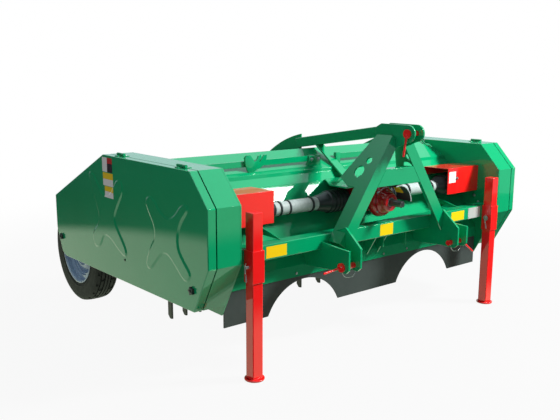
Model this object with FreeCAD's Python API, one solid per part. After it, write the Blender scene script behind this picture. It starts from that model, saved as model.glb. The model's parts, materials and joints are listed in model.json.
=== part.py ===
import FreeCAD, Part
import math
import os

os.makedirs("parts", exist_ok=True)
V = FreeCAD.Vector

# Axes while modelling: X across the machine from its middle, Y rearward from the front skirt, Z up from
# the floor. The tractor side looks towards -Y. Everything is moved at the end so that the middle of the
# machine's length is at Y = 0. All sizes are millimetres.

# Plate and sheet thicknesses
PLATE = 8.0
SHEET = 4.0
LID_SHEET = 3.0
EAR_PLATE = 12.0
RUBBER = 6.0
FIT = 0.05            # radial clearance of a shaft that turns in its bearing
GAP = 0.3             # clearance between faces of different bodies
CUT = 1.0             # how far a cutting shape stands out of what it cuts

# Side plates and belt cases
SIDE_X = 935.0        # inner face of a side plate
CASE_X = 1060.0       # outer edge of the fixed belt case
LID_GAP = 6.0         # slit between the belt case and the lid's rim
LID_DEPTH = 40.0
CASE_FRONT = -139.0
CASE_TOP = 937.0
CASE_TOP_FRONT = -4.0
CASE_TOP_REAR = 810.0
CASE_SHOULDER = 794.0     # height where the sloped nose meets the vertical front
CASE_CHIN = 539.0         # lower end of the vertical front
CASE_CHIN_Y = -24.0
CASE_FLOOR = 329.0
LID_REAR = 1459.0
LID_REAR_TOP = 647.0
LID_REAR_LOW = 455.0
LID_TOE_Y = 1396.0
LID_TOE_Z = 322.0
LID_HEEL_Y = 1350.0
LID_HEEL_Z = 303.0
CASE_REAR = 1085.0
PLATE_LOW = 272.0
PLATE_REAR = 1175.0
PLATE_REAR_LOW = 585.0
BEARING_HOLE = 4.0        # how far a hole in a side plate is wider than its shaft

# Hinges of the lids: places along Y, pin, knuckle and leaf
HINGE_PLACES = (120.0, 690.0)
HINGE_RISE = 8.0      # height of the hinge pins above the case
HINGE_PIN_R = 4.0
HINGE_R = 7.0
HINGE_WIDTH = 30.0
HINGE_OUTER = 21.0    # width of each fixed knuckle
HINGE_LEAF = 3.0
HINGE_REACH = 24.0    # how far a leaf lies on its sheet

# Pressed crosses in the lids, as outlines of (y, z) points
PRESS_STEP = 2.5
PRESS_SLOPE = 9.0
PRESSED_FORMS = (
    ((398.0, 761.0), (320.0, 809.0), (218.0, 718.0), (140.0, 717.0), (52.0, 806.0), (-16.0, 780.0),
     (75.0, 693.0), (95.0, 600.0), (48.0, 548.0), (-25.0, 490.0), (37.0, 434.0), (125.0, 504.0),
     (205.0, 552.0), (284.0, 489.0), (344.0, 428.0), (396.0, 452.0), (356.0, 541.0), (276.0, 626.0)),
    ((1004.0, 827.0), (925.0, 850.0), (825.0, 735.0), (745.0, 735.0), (655.0, 850.0), (565.0, 796.0),
     (695.0, 644.0), (688.0, 600.0), (560.0, 480.0), (604.0, 428.0), (806.0, 543.0), (870.0, 440.0),
     (948.0, 431.0), (977.0, 508.0), (885.0, 577.0), (879.0, 631.0)),
)

# Knobs of the lids: columns y, z
KNOB_PLACES = ((-14.0, 425.0), (1390.0, 411.0))
KNOB_R = 19.0
KNOB_DEPTH = 16.0

# Hood over the rotor, as points of its cross-section
RIDGE_Y = 455.0
RIDGE_Z = 935.0
JOGGLE_Y = 262.0
JOGGLE_Z = 846.0
JOGGLE_DROP = 18.0
JOGGLE_RUN = 4.0
BEND_Y = 215.0
BEND_Z = 788.0
LIP_TOP = 432.0
LIP_LOW = 375.0
REAR_KNEE_Y = 820.0
REAR_KNEE_Z = 885.0
REAR_TOP_Z = 800.0
REAR_Y = 1085.0
REAR_LOW_Z = 560.0

# Rubber skirt in front, cut out over the two ridges, and the curtain behind
ROW_PITCH = 900.0
SKIRT_LOW = 210.0
SKIRT_OVERLAP = 10.0  # how far the skirt stays below the top of the lip
ARCH_WIDTH = 456.0
ARCH_HEIGHT = 147.0
CURTAIN_LOW = 250.0
CURTAIN_OVERLAP = 60.0
RUBBER_CLEAR = 3.0

# Front beam
BEAM_FRONT = -106.0
BEAM_LOW = 523.0
BEAM_SIZE = 70.0
BEAM_WALL = 6.0

# Rear beam between the side plates, behind the hood
REAR_BEAM_Y = 1093.0
REAR_BEAM_Z = 620.0
REAR_BEAM_SIZE = 80.0

# Gussets between the front beam and the sheet: places along X above and below the beam
UPPER_GUSSETS = (-660.0, 660.0)
LOWER_GUSSETS = (-20.0, 60.0)
GUSSET_RISE = 45.0
GUSSET_DROP = 115.0

# Three-point hitch
LOWER_X = 402.7
LOWER_Y = -246.5
LOWER_Z = 464.0
LOWER_GAP = 64.0
LOWER_PIN_R = 14.0
EAR_FRONT = -290.0
EAR_UNDER = 26.0      # metal below a lower pin
TOP_Y = -260.5
TOP_Z = 1058.0
TOP_GAP = 54.0
TOP_PIN_R = 12.5
TOP_EAR_R = 42.0
TOP_EAR_DEPTH = 73.0  # from the top pin down to the lower edge of its ears
TOP_EAR_REAR = -50.0
PIN_KNOB_R = 22.0
PIN_KNOB = 8.0
PIN_HANDLE_R = 5.0
PIN_HANDLE = 108.0

# Headstock legs: u runs down along a leg from its top, y rearward
LEG_FRONT = -188.0
LEG_TOP_X = 39.5
LEG_TOP_DROP = 28.0       # from the top pin down to the legs' tops
LEG_SLOPE = 34.7          # degrees from upright
LEG_FOOT_Z = 540.0
LEG_WIDTH = 62.0
WING_TOP_Y = -88.0
WING_CORNER = (260.0, 16.0)
WING_HOLES = ((212.0, -88.0, 30.0), (148.0, -118.0, 18.0), (240.0, -92.0, 8.0))
CROSS_DROP = 173.0        # from the top pin down to the top of the cross tube
CROSS_HEIGHT = 85.0
CROSS_DEPTH = 45.0

# Brace from the top clevis to the hood
BRACE_FRONT_Y = -70.0
BRACE_REAR_Y = 575.0
BRACE_REAR_Z = 954.0
FIN_FRONT_Y = 556.0
FIN_CROWN = (700.0, 962.0)
FIN_TAIL_Y = 862.0
FIN_RISE = 22.0           # how far the fin stands over the brace
STAY_TOP = (417.0, 960.0)
STAY_FOOT = (192.0, 798.0)
STAY_THICK = 10.0

# Shelf over the gearbox: its lower face, level with the bend of the hood
SHELF_Z = BEND_Z
SHELF_FRONT = -60.0
SHELF_HALF = 245.0
SHELF_REAR_HALF = 130.0

# Rail across the hood: x start and x end of each length, its stands, and the hook on it
RAIL_RUNS = ((-860.0, -110.0), (46.0, 317.0))
RAIL_POSTS = (-840.0, -139.0, 50.0, 300.0)
RAIL_Y = 296.0
RAIL_THICK = 8.0
RAIL_LOW = 884.0
RAIL_HEIGHT = 30.0
RAIL_POST_DEPTH = 36.0
HOOK_OUTLINE = ((-604.0, 936.0), (-584.0, 936.0), (-572.0, 912.0), (-540.0, 896.0), (-508.0, 904.0),
                (-480.0, 940.0), (-462.0, 940.0), (-470.0, 898.0), (-506.0, 872.0), (-540.0, 868.0),
                (-574.0, 872.0), (-600.0, 898.0))

# Drive: gearbox in the middle, a guarded shaft to each side, a belt down to the rotor
DRIVE_Y = 80.0
DRIVE_Z = 704.0
GEARBOX_HALF = 120.0
GEARBOX_R = 68.0
NECK_R = 40.0
NECK_FRONT = -138.0
INPUT_R = 17.3
INPUT_TIP = -215.0
INPUT_LENGTH = 75.0
INPUT_SHOULDER_R = 24.0
INPUT_REAR = -91.0
CUP_R = 92.0
CUP_WALL = 4.0
CUP_FRONT = -190.0
CUP_REAR = -100.0
ROTOR_Y = 520.0
ROTOR_Z = 475.0
ROTOR_SHAFT_R = 25.0
DRUM_R = 90.0
DRUM_HALF = 922.0
FLAIL_LONG = 365.0
FLAIL_SHORT = 225.0
FLAIL_WIDTH = 34.0
FLAIL_THICK = 10.0
FLAIL_LUG_R = 22.0
FLAIL_LUG_HEIGHT = 32.0
FLAIL_LUG_THICK = 24.0
TOP_PULLEY_R = 105.0
LOW_PULLEY_R = 82.0
BELT_THICK = 12.0
BEARING_R = 60.0
BEARING_DEPTH = 34.0
PULLEY_CLEAR = 13.0
PULLEY_IN = SIDE_X + PLATE + BEARING_DEPTH + PULLEY_CLEAR
PULLEY_WIDTH = 50.0
PULLEY_FLANGE = 6.0
SHAFT_OVER = 8.0      # how far a shaft stands out of its pulley
SHIELD_IN = 645.0
SHIELD_FRONT = 5.0
SHIELD_TOP = 810.0
SHIELD_LOW = 658.0
SHIELD_REAR_Z = 755.0
SHIELD_REAR_Y = 180.0

# Parking stands
STAND_X = 868.0
STAND_Y = -137.0
LEG_TUBE = 54.0
SLEEVE_WALL = 5.0
SLEEVE_LOW = 448.0
SLEEVE_TOP = 592.0
STAND_TOP = 757.0
FOOT_THICK = 10.0
FOOT_R = 46.0

# Wheels
WHEEL_Y = 1425.6
TYRE_R = 302.0
TYRE_WIDTH = 141.0
TYRE_FLANK_R = 268.0
TYRE_SHOULDER = 14.0
TYRE_BEAD = 9.0
RIM_R = 190.0
RIM_WALL = 10.0
RIM_WELL_R = 150.0
RIM_SEAT = 24.0
RIM_DISC = 12.0
HUB_R = 45.0
HUB_OVER = 45.0       # how far the hub stands out of the middle of the rim
HUB_IN = 10.0         # how far the hub stands in of the tyre
AXLE_R = 17.5
AXLE_COLLAR_R = 30.0
AXLE_SHORT = 25.0     # from the tyre's outer face in to the axle's end
WHEEL_ARM_X = 815.0
WHEEL_LEG = 60.0
WHEEL_LEG_RISE = 60.0
WHEEL_SLEEVE = 80.0
WHEEL_SLEEVE_LOW = 500.0
WHEEL_SLEEVE_RISE = 20.0
WHEEL_CLEAR = 20.0    # between the arm's sleeve and the tyre

# Sizes that follow from the ones above
LID_X = CASE_X + LID_GAP + LID_DEPTH
LEG_TOP_Z = TOP_Z - LEG_TOP_DROP
TOP_EAR_LOW = TOP_Z - TOP_EAR_DEPTH
CROSS_HIGH = TOP_Z - CROSS_DROP
CROSS_LOW = CROSS_HIGH - CROSS_HEIGHT
PULLEY_OUT = PULLEY_IN + PULLEY_WIDTH
WHEEL_IN = WHEEL_ARM_X + WHEEL_SLEEVE / 2 + WHEEL_CLEAR
TYRE_OUT = WHEEL_IN + TYRE_WIDTH
WHEEL_MID = (WHEEL_IN + TYRE_OUT) / 2


def box(x0, x1, y0, y1, z0, z1):
    return Part.makeBox(x1 - x0, y1 - y0, z1 - z0, V(x0, y0, z0))


def plate_yz(points, x0, thickness):
    """Flat plate across X from an outline of (y, z) points."""
    corners = [V(x0, y, z) for y, z in points]
    face = Part.Face(Part.makePolygon(corners + corners[:1]))
    return face.extrude(V(thickness, 0, 0))


def plate_xz(points, y0, thickness):
    """Flat plate across Y from an outline of (x, z) points."""
    corners = [V(x, y0, z) for x, z in points]
    face = Part.Face(Part.makePolygon(corners + corners[:1]))
    return face.extrude(V(0, thickness, 0))


def bar_x(radius, x0, x1, y, z):
    return Part.makeCylinder(radius, x1 - x0, V(x0, y, z), V(1, 0, 0))


def bar_y(radius, y0, y1, x, z):
    return Part.makeCylinder(radius, y1 - y0, V(x, y0, z), V(0, 1, 0))


def cone_x(r0, r1, x0, x1, y, z):
    return Part.makeCone(r0, r1, x1 - x0, V(x0, y, z), V(1, 0, 0))


def fuse(*shapes):
    joined = shapes[0].multiFuse(list(shapes[1:])) if len(shapes) > 1 else shapes[0]
    return joined.removeSplitter()


def mirrored(shape):
    return shape.mirror(V(0, 0, 0), V(1, 0, 0))


def strip_yz(points, thickness, x0, x1):
    """Folded sheet of constant thickness that follows open (y, z) points, on the left of their direction."""
    def normal(a, b):
        length = math.hypot(b[0] - a[0], b[1] - a[1])
        return (-(b[1] - a[1]) / length, (b[0] - a[0]) / length)
    normals = [normal(a, b) for a, b in zip(points, points[1:])]
    offset = []
    for i, point in enumerate(points):
        n0 = normals[max(i - 1, 0)]
        n1 = normals[min(i, len(normals) - 1)]
        scale = thickness / (1 + n0[0] * n1[0] + n0[1] * n1[1])
        offset.append((point[0] + (n0[0] + n1[0]) * scale, point[1] + (n0[1] + n1[1]) * scale))
    return plate_yz(points + offset[::-1], x0, x1 - x0)


NODES = {}


def keep(name, shape):
    NODES[name] = shape


def keep_pair(name, shape):
    """A piece of the +X side and its mirror image."""
    NODES[name + "_right"] = shape
    NODES[name + "_left"] = mirrored(shape)


def keep_both(name, shape, left=None):
    """A piece of the +X side and its mirror image, or that of another shape, in one node."""
    NODES[name] = Part.makeCompound(shape.Solids + mirrored(left or shape).Solids)


def largest(shape):
    return max(shape.Solids, key=lambda solid: solid.Volume)


CASE_NOSE = [
    (CASE_TOP_REAR, CASE_TOP),
    (CASE_TOP_FRONT, CASE_TOP),
    (CASE_FRONT, CASE_SHOULDER),
    (CASE_FRONT, CASE_CHIN),
]
LID_OUTLINE = CASE_NOSE + [
    (CASE_CHIN_Y, CASE_FLOOR),
    (LID_HEEL_Y, LID_HEEL_Z),
    (LID_TOE_Y, LID_TOE_Z),
    (LID_REAR, LID_REAR_LOW),
    (LID_REAR, LID_REAR_TOP),
]
HOOD_LINE = [
    (BEND_Y, BEND_Z),
    (JOGGLE_Y - JOGGLE_RUN, JOGGLE_Z - JOGGLE_DROP),
    (JOGGLE_Y, JOGGLE_Z),
    (RIDGE_Y, RIDGE_Z),
    (REAR_KNEE_Y, REAR_KNEE_Z),
    (REAR_Y, REAR_TOP_Z),
]


def slope_height(y):
    """Height of the sloped rear edge of the case at y."""
    run = (y - CASE_TOP_REAR) / (LID_REAR - CASE_TOP_REAR)
    return CASE_TOP + run * (LID_REAR_TOP - CASE_TOP)


def floor_height(y):
    """Height of the lower edge of the case at y."""
    run = (y - CASE_CHIN_Y) / (LID_HEEL_Y - CASE_CHIN_Y)
    return CASE_FLOOR + run * (LID_HEEL_Z - CASE_FLOOR)


def hood_height(y):
    """Height of the hood's outer face at y."""
    for (y0, z0), (y1, z1) in zip(HOOD_LINE, HOOD_LINE[1:]):
        if y0 <= y <= y1:
            return z0 + (z1 - z0) * (y - y0) / (y1 - y0)
    return REAR_TOP_Z


def sheet_y(z):
    """Place of the sloped front sheet at height z."""
    return BEND_Y * (z - LIP_TOP) / (BEND_Z - LIP_TOP)


def side_plate():
    chin_run = (CASE_CHIN_Y - CASE_FRONT) / (CASE_CHIN - CASE_FLOOR)
    toe_y = CASE_FRONT + chin_run * (CASE_CHIN - PLATE_LOW)
    outline = CASE_NOSE + [
        (toe_y, PLATE_LOW),
        (CASE_REAR, PLATE_LOW),
        (CASE_REAR, PLATE_REAR_LOW),
        (PLATE_REAR, PLATE_REAR_LOW),
        (PLATE_REAR, slope_height(PLATE_REAR)),
    ]
    plate = plate_yz(outline, SIDE_X, PLATE)
    holes = []
    for y, z in ((ROTOR_Y, ROTOR_Z), (DRIVE_Y, DRIVE_Z)):
        holes.append(bar_x(ROTOR_SHAFT_R + BEARING_HOLE, SIDE_X - CUT, SIDE_X + PLATE + CUT, y, z))
    return plate.cut(Part.makeCompound(holes))


def hinge_knuckle(y0, y1, leaf_x0, leaf_x1):
    """Rolled end of a hinge leaf round its pin, with the leaf that lies on the sheet."""
    x = CASE_X + LID_GAP / 2
    barrel = bar_y(HINGE_R, y0, y1, x, CASE_TOP + HINGE_RISE)
    return fuse(barrel, box(leaf_x0, leaf_x1, y0, y1, CASE_TOP, CASE_TOP + HINGE_LEAF))


def case_hinges():
    """Fixed halves of the lid's hinges with their pins."""
    x = CASE_X + LID_GAP / 2
    near = HINGE_WIDTH / 2 + GAP
    far = near + HINGE_OUTER
    pieces = []
    for y in HINGE_PLACES:
        for y0, y1 in ((y - far, y - near), (y + near, y + far)):
            pieces.append(hinge_knuckle(y0, y1, CASE_X - HINGE_REACH, x))
        pieces.append(bar_y(HINGE_PIN_R, y - far, y + far, x, CASE_TOP + HINGE_RISE))
    return pieces


def lid_hinges():
    """Moving halves of the lid's hinges."""
    x = CASE_X + LID_GAP / 2
    half = HINGE_WIDTH / 2
    pieces = []
    for y in HINGE_PLACES:
        knuckle = hinge_knuckle(y - half, y + half, x, x + LID_GAP / 2 + HINGE_REACH)
        pieces.append(knuckle.cut(bar_y(HINGE_PIN_R + FIT, y - half - CUT, y + half + CUT, x,
                                        CASE_TOP + HINGE_RISE)))
    return pieces


def pan(outline, x0, depth, wall, floor):
    """Sheet rim that follows an outline, with a floor on its outer side where floor is not zero."""
    outer = plate_yz(outline, x0, depth)
    face = Part.Face(Part.makePolygon([V(x0, y, z) for y, z in outline + outline[:1]]))
    return outer.cut(face.makeOffset2D(-wall, 2).extrude(V(depth - floor, 0, 0)))


def belt_case():
    """Sheet rim round the belt drive, open towards the lid."""
    outline = CASE_NOSE + [(CASE_CHIN_Y, CASE_FLOOR), (CASE_REAR, floor_height(CASE_REAR)),
                           (CASE_REAR, slope_height(CASE_REAR))]
    start = SIDE_X + PLATE
    return fuse(pan(outline, start, CASE_X - start, SHEET, 0.0), *case_hinges())


def pressed_form(outline):
    """Raised cross in the lid's face, in two steps with a narrower crown."""
    face = Part.Face(Part.makePolygon([V(LID_X, y, z) for y, z in outline + outline[:1]]))
    crown = face.makeOffset2D(-PRESS_SLOPE, 2)
    return fuse(face.extrude(V(PRESS_STEP, 0, 0)), crown.extrude(V(2 * PRESS_STEP, 0, 0)))


def lid():
    """Shallow pressed pan that closes the belt case and covers the wheel's front."""
    start = CASE_X + LID_GAP
    forms = [pressed_form(outline) for outline in PRESSED_FORMS]
    return fuse(pan(LID_OUTLINE, start, LID_DEPTH, LID_SHEET, LID_SHEET), *lid_hinges(), *forms)


def lid_knobs():
    """Turn knobs at the two lower corners of a lid."""
    return Part.makeCompound([bar_x(KNOB_R, LID_X, LID_X + KNOB_DEPTH, y, z) for y, z in KNOB_PLACES])


def hood():
    back = [(REAR_Y, REAR_LOW_Z)] + HOOD_LINE[::-1]
    return strip_yz(back, SHEET, -SIDE_X, SIDE_X)


def front_sheet():
    points = [(BEND_Y, BEND_Z), (0.0, LIP_TOP), (0.0, LIP_LOW)]
    return strip_yz(points, SHEET, -SIDE_X, SIDE_X).cut(hood())


def skirt():
    y0 = SHEET
    sheet = box(-SIDE_X + RUBBER_CLEAR, SIDE_X - RUBBER_CLEAR, y0, y0 + RUBBER, SKIRT_LOW,
                LIP_TOP - SKIRT_OVERLAP)
    cuts = []
    for side in (-1, 1):
        x = side * ROW_PITCH / 2
        half = ARCH_WIDTH / 2
        left, right = V(x - half, y0 - CUT, SKIRT_LOW), V(x + half, y0 - CUT, SKIRT_LOW)
        crown = V(x, y0 - CUT, SKIRT_LOW + ARCH_HEIGHT)
        arc = Part.Arc(left, crown, right).toShape()
        arch = Part.Face(Part.Wire([arc, Part.makeLine(right, left)]))
        cuts.append(arch.extrude(V(0, RUBBER + 2 * CUT, 0)))
    return sheet.cut(Part.makeCompound(cuts))


def curtain():
    return box(-SIDE_X + RUBBER_CLEAR, SIDE_X - RUBBER_CLEAR, REAR_Y, REAR_Y + RUBBER, CURTAIN_LOW,
               REAR_LOW_Z + CURTAIN_OVERLAP)


def hollow_beam(half, y0, z0, size, wall):
    outer = box(-half, half, y0, y0 + size, z0, z0 + size)
    inner = box(-half, half, y0 + wall, y0 + size - wall, z0 + wall, z0 + size - wall)
    return outer.cut(inner)


def front_beam():
    return hollow_beam(SIDE_X, BEAM_FRONT, BEAM_LOW, BEAM_SIZE, BEAM_WALL)


def rear_beam():
    return hollow_beam(SIDE_X, REAR_BEAM_Y, REAR_BEAM_Z, REAR_BEAM_SIZE, BEAM_WALL)


def beam_gussets():
    """Triangular plates between the front beam and the sheet, above it and below it."""
    top = BEAM_LOW + BEAM_SIZE
    upper = [(BEAM_FRONT + BEAM_SIZE / 2, top), (sheet_y(top), top), (sheet_y(top + GUSSET_RISE),
                                                                     top + GUSSET_RISE)]
    lower = [(BEAM_FRONT + BEAM_SIZE / 2, BEAM_LOW), (sheet_y(BEAM_LOW), BEAM_LOW), (0.0, LIP_TOP),
             (0.0, BEAM_LOW - GUSSET_DROP)]
    pieces = [plate_yz(upper, x - SHEET, 2 * SHEET) for x in UPPER_GUSSETS]
    pieces += [plate_yz(lower, x - SHEET, 2 * SHEET) for x in LOWER_GUSSETS]
    return Part.makeCompound(pieces)


SLOPE = math.radians(LEG_SLOPE)
LEG_LENGTH = (LEG_TOP_Z - LEG_FOOT_Z) / math.cos(SLOPE)


def leg_frame(u, n):
    """Point of the right leg's own axes: u down along the leg, n outward across it."""
    x = LEG_TOP_X + u * math.sin(SLOPE) + n * math.cos(SLOPE)
    z = LEG_TOP_Z - u * math.cos(SLOPE) + n * math.sin(SLOPE)
    return x, z


def headstock_leg():
    """Folded leg: a front strip and a deep web with lightening holes on its outer edge."""
    half = LEG_WIDTH / 2
    strip = plate_xz([leg_frame(0, -half), leg_frame(0, half), leg_frame(LEG_LENGTH, half),
                      leg_frame(LEG_LENGTH, -half)], LEG_FRONT, PLATE)
    web_n = half - PLATE
    # the wing's lower edge stands on the shelf with its inner corner
    wing_u = (LEG_TOP_Z - SHELF_Z - PLATE + web_n * math.sin(SLOPE)) / math.cos(SLOPE)
    rear = [(0.0, WING_TOP_Y), WING_CORNER, (wing_u, SHELF_FRONT), (wing_u, BEAM_FRONT),
            (LEG_LENGTH, BEAM_FRONT)]
    corners = []
    for u, y in [(0.0, LEG_FRONT + PLATE)] + rear + [(LEG_LENGTH, LEG_FRONT + PLATE)]:
        x, z = leg_frame(u, web_n)
        corners.append(V(x, y, z))
    outward = V(math.cos(SLOPE), 0, math.sin(SLOPE))
    web = Part.Face(Part.makePolygon(corners + corners[:1])).extrude(outward * PLATE)
    holes = []
    for u, y, radius in WING_HOLES:
        x, z = leg_frame(u, web_n - CUT)
        holes.append(Part.makeCylinder(radius, PLATE + 2 * CUT, V(x, y, z), outward))
    leg = fuse(strip, web.cut(Part.makeCompound(holes)))
    # the top end stops at the outer face of the top clevis, the foot at the beam
    leg = leg.cut(box(-SIDE_X, TOP_GAP / 2 + EAR_PLATE, EAR_FRONT, SIDE_X, TOP_EAR_LOW, 2 * TOP_Z))
    return leg.cut(box(0, SIDE_X, BEAM_FRONT, 0, BEAM_LOW, BEAM_LOW + BEAM_SIZE))


def headstock_cross():
    """Tube between the two legs, cut to their slope."""
    inner = LEG_WIDTH / 2

    def edge(z):
        u = (LEG_TOP_Z - z - inner * math.sin(SLOPE)) / math.cos(SLOPE)
        return leg_frame(u, -inner)[0]
    outline = [(-edge(CROSS_LOW), CROSS_LOW), (edge(CROSS_LOW), CROSS_LOW),
               (edge(CROSS_HIGH), CROSS_HIGH), (-edge(CROSS_HIGH), CROSS_HIGH)]
    return plate_xz(outline, LEG_FRONT, CROSS_DEPTH)


def top_ears():
    """Two rounded plates that take the top pin and run back to hold the brace."""
    half = TOP_GAP / 2
    top = TOP_Z + TOP_EAR_R
    outline = [(TOP_Y, top), (WING_TOP_Y, top), (TOP_EAR_REAR, TOP_Z + TOP_EAR_R / 2),
               (TOP_EAR_REAR, TOP_Z - TOP_EAR_R), (WING_TOP_Y, TOP_EAR_LOW), (LEG_FRONT, TOP_EAR_LOW),
               (TOP_Y, TOP_Z - TOP_EAR_R)]
    pieces = []
    for x0 in (half, -half - EAR_PLATE):
        disc = bar_x(TOP_EAR_R, x0, x0 + EAR_PLATE, TOP_Y, TOP_Z)
        ear = fuse(disc, plate_yz(outline, x0, EAR_PLATE))
        hole = bar_x(TOP_PIN_R + FIT, x0 - CUT, x0 + EAR_PLATE + CUT, TOP_Y, TOP_Z)
        pieces.append(ear.cut(hole))
    return Part.makeCompound(pieces)


def lower_ears():
    """Pair of plates that take one lower pin: the outer one low, the inner one up to the leg."""
    inner_x = LOWER_X - LOWER_GAP / 2 - EAR_PLATE
    outer_x = LOWER_X + LOWER_GAP / 2
    low = LOWER_Z - EAR_UNDER
    beam_top = BEAM_LOW + BEAM_SIZE
    nose = [(EAR_FRONT, BEAM_LOW + 25.0), (EAR_FRONT, low + 17.0), (EAR_FRONT + 18.0, low),
            (LOWER_Y + 66.0, low)]
    heel = [(0.0, LIP_TOP - 8.0), (0.0, LIP_TOP), (sheet_y(BEAM_LOW), BEAM_LOW), (BEAM_FRONT, BEAM_LOW)]
    tall = [(BEAM_FRONT, beam_top + 7.0), (LEG_FRONT, beam_top + 39.0)]
    short = [(BEAM_FRONT, beam_top - 33.0), (LOWER_Y + 46.0, beam_top - 41.0)]
    leg = headstock_leg()
    pieces = []
    for x0, crown in ((inner_x, tall), (outer_x, short)):
        ear = plate_yz(nose + heel + crown, x0, EAR_PLATE).cut(leg)
        hole = bar_x(LOWER_PIN_R + FIT, x0 - CUT, x0 + EAR_PLATE + CUT, LOWER_Y, LOWER_Z)
        pieces.append(ear.cut(hole))
    return Part.makeCompound(pieces)


def lower_pin(handle_drop):
    """Hitch pin with a knob outside and a bent rod for a handle."""
    x0 = LOWER_X - LOWER_GAP / 2 - EAR_PLATE - PIN_KNOB_R
    x1 = LOWER_X + LOWER_GAP / 2 + EAR_PLATE
    pin = bar_x(LOWER_PIN_R, x0, x1 + PIN_KNOB, LOWER_Y, LOWER_Z)
    knob = bar_x(PIN_KNOB_R, x1 + GAP, x1 + PIN_KNOB, LOWER_Y, LOWER_Z)
    start = V(x1 + PIN_KNOB / 2, LOWER_Y, LOWER_Z)
    run = V(PIN_HANDLE, 0, -handle_drop)
    return fuse(pin, knob, Part.makeCylinder(PIN_HANDLE_R, run.Length, start, run))


def top_pin():
    """Pin through the top clevis, with its handle hanging on the left."""
    x0 = TOP_GAP / 2 + EAR_PLATE
    pin = bar_x(TOP_PIN_R, -x0 - PIN_KNOB, x0 + PIN_KNOB_R, TOP_Y, TOP_Z)
    knob = bar_x(PIN_KNOB_R, -x0 - PIN_KNOB, -x0 - GAP, TOP_Y, TOP_Z)
    start = V(-x0 - PIN_KNOB / 2, TOP_Y, TOP_Z)
    run = V(-PIN_KNOB_R, 0, -PIN_HANDLE)
    return fuse(pin, knob, Part.makeCylinder(PIN_HANDLE_R, run.Length, start, run))


BRACE_RUN = BRACE_REAR_Y - BRACE_FRONT_Y
BRACE_FALL = TOP_Z - BRACE_REAR_Z


def brace_height(y):
    """Height of the brace's middle line at y."""
    return TOP_Z - BRACE_FALL * (y - BRACE_FRONT_Y) / BRACE_RUN


def top_brace():
    """Square tube from the top clevis down to the hood's ridge."""
    length = math.hypot(BRACE_RUN, BRACE_FALL)
    half = TOP_GAP / 2
    ny, nz = BRACE_FALL / length * half, BRACE_RUN / length * half
    corners = [(BRACE_FRONT_Y + ny, TOP_Z + nz), (BRACE_REAR_Y + ny, BRACE_REAR_Z + nz),
               (BRACE_REAR_Y - ny, BRACE_REAR_Z - nz), (BRACE_FRONT_Y - ny, TOP_Z - nz)]
    return plate_yz(corners, -half, TOP_GAP)


def brace_fin():
    """Curved plate on the middle of the hood that carries the rear end of the brace."""
    top = V(0, FIN_FRONT_Y, brace_height(FIN_FRONT_Y) + TOP_GAP / 2 + FIN_RISE)
    crown = V(0, *FIN_CROWN)
    tail = V(0, FIN_TAIL_Y, hood_height(FIN_TAIL_Y))
    knee = V(0, REAR_KNEE_Y, REAR_KNEE_Z)
    foot = V(0, FIN_FRONT_Y, hood_height(FIN_FRONT_Y))
    edges = [Part.Arc(top, crown, tail).toShape(), Part.makeLine(tail, knee), Part.makeLine(knee, foot),
             Part.makeLine(foot, top)]
    plate = Part.Face(Part.Wire(edges)).extrude(V(PLATE, 0, 0))
    plate.translate(V(-PLATE / 2, 0, 0))
    return plate.cut(top_brace())


def brace_stay():
    """Flat bar from the brace down to the bend of the hood, between the two."""
    half = TOP_GAP / 2
    dy, dz = STAY_TOP[0] - STAY_FOOT[0], STAY_TOP[1] - STAY_FOOT[1]
    ends = [(STAY_FOOT[0] - dy / 4, STAY_FOOT[1] - dz / 4), (STAY_TOP[0] + dy / 4, STAY_TOP[1] + dz / 4)]
    bar = strip_yz(ends, STAY_THICK, -half, half)
    # what is left between the brace above and the sheet, the hood and the shelf below
    below = plate_yz(HOOD_LINE + [(REAR_Y, 0.0), (0.0, 0.0), (0.0, LIP_TOP)], -SIDE_X, 2 * SIDE_X)
    above = top_brace().fuse(box(-half, half, BRACE_FRONT_Y, BRACE_REAR_Y, BRACE_REAR_Z + TOP_GAP, 2 * TOP_Z))
    return largest(bar.cut(below).cut(above).cut(gearbox_shelf()))


def gearbox_shelf():
    """Plate over the gearbox, between the legs' webs and the bend of the hood."""
    right = [(SHELF_HALF, SHELF_FRONT), (SHELF_HALF, -SHELF_FRONT), (SHELF_REAR_HALF, BEND_Y)]
    outline = right + [(-x, y) for x, y in right[::-1]]
    corners = [V(x, y, SHELF_Z) for x, y in outline]
    return Part.Face(Part.makePolygon(corners + corners[:1])).extrude(V(0, 0, PLATE))


def gearbox():
    """Bevel gearbox: cross housing, flanged input neck and a block up to the shelf."""
    half = GEARBOX_R - PLATE
    waist = NECK_FRONT + 2 * NECK_R - PLATE
    body = fuse(bar_x(GEARBOX_R, -GEARBOX_HALF + 30.0, GEARBOX_HALF - 30.0, DRIVE_Y, DRIVE_Z),
                bar_y(half, waist, DRIVE_Y, 0, DRIVE_Z),
                bar_y(GEARBOX_R, NECK_FRONT + NECK_R + 2.0, waist, 0, DRIVE_Z),
                bar_y(NECK_R, NECK_FRONT, NECK_FRONT + NECK_R + 2.0, 0, DRIVE_Z),
                bar_x(NECK_R + 5.0, -GEARBOX_HALF, GEARBOX_HALF, DRIVE_Y, DRIVE_Z),
                box(-half, half, NECK_R, DRIVE_Y + NECK_R, DRIVE_Z, SHELF_Z))
    return body.cut(bar_y(INPUT_SHOULDER_R + FIT, NECK_FRONT - CUT, INPUT_REAR + CUT, 0, DRIVE_Z))


def input_shaft():
    """Stub that takes the tractor's drive shaft, with a wider journal in the gearbox."""
    shoulder = INPUT_TIP + INPUT_LENGTH
    return fuse(bar_y(INPUT_R, INPUT_TIP, shoulder, 0, DRIVE_Z),
                bar_y(INPUT_SHOULDER_R, shoulder, INPUT_REAR, 0, DRIVE_Z))


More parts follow.
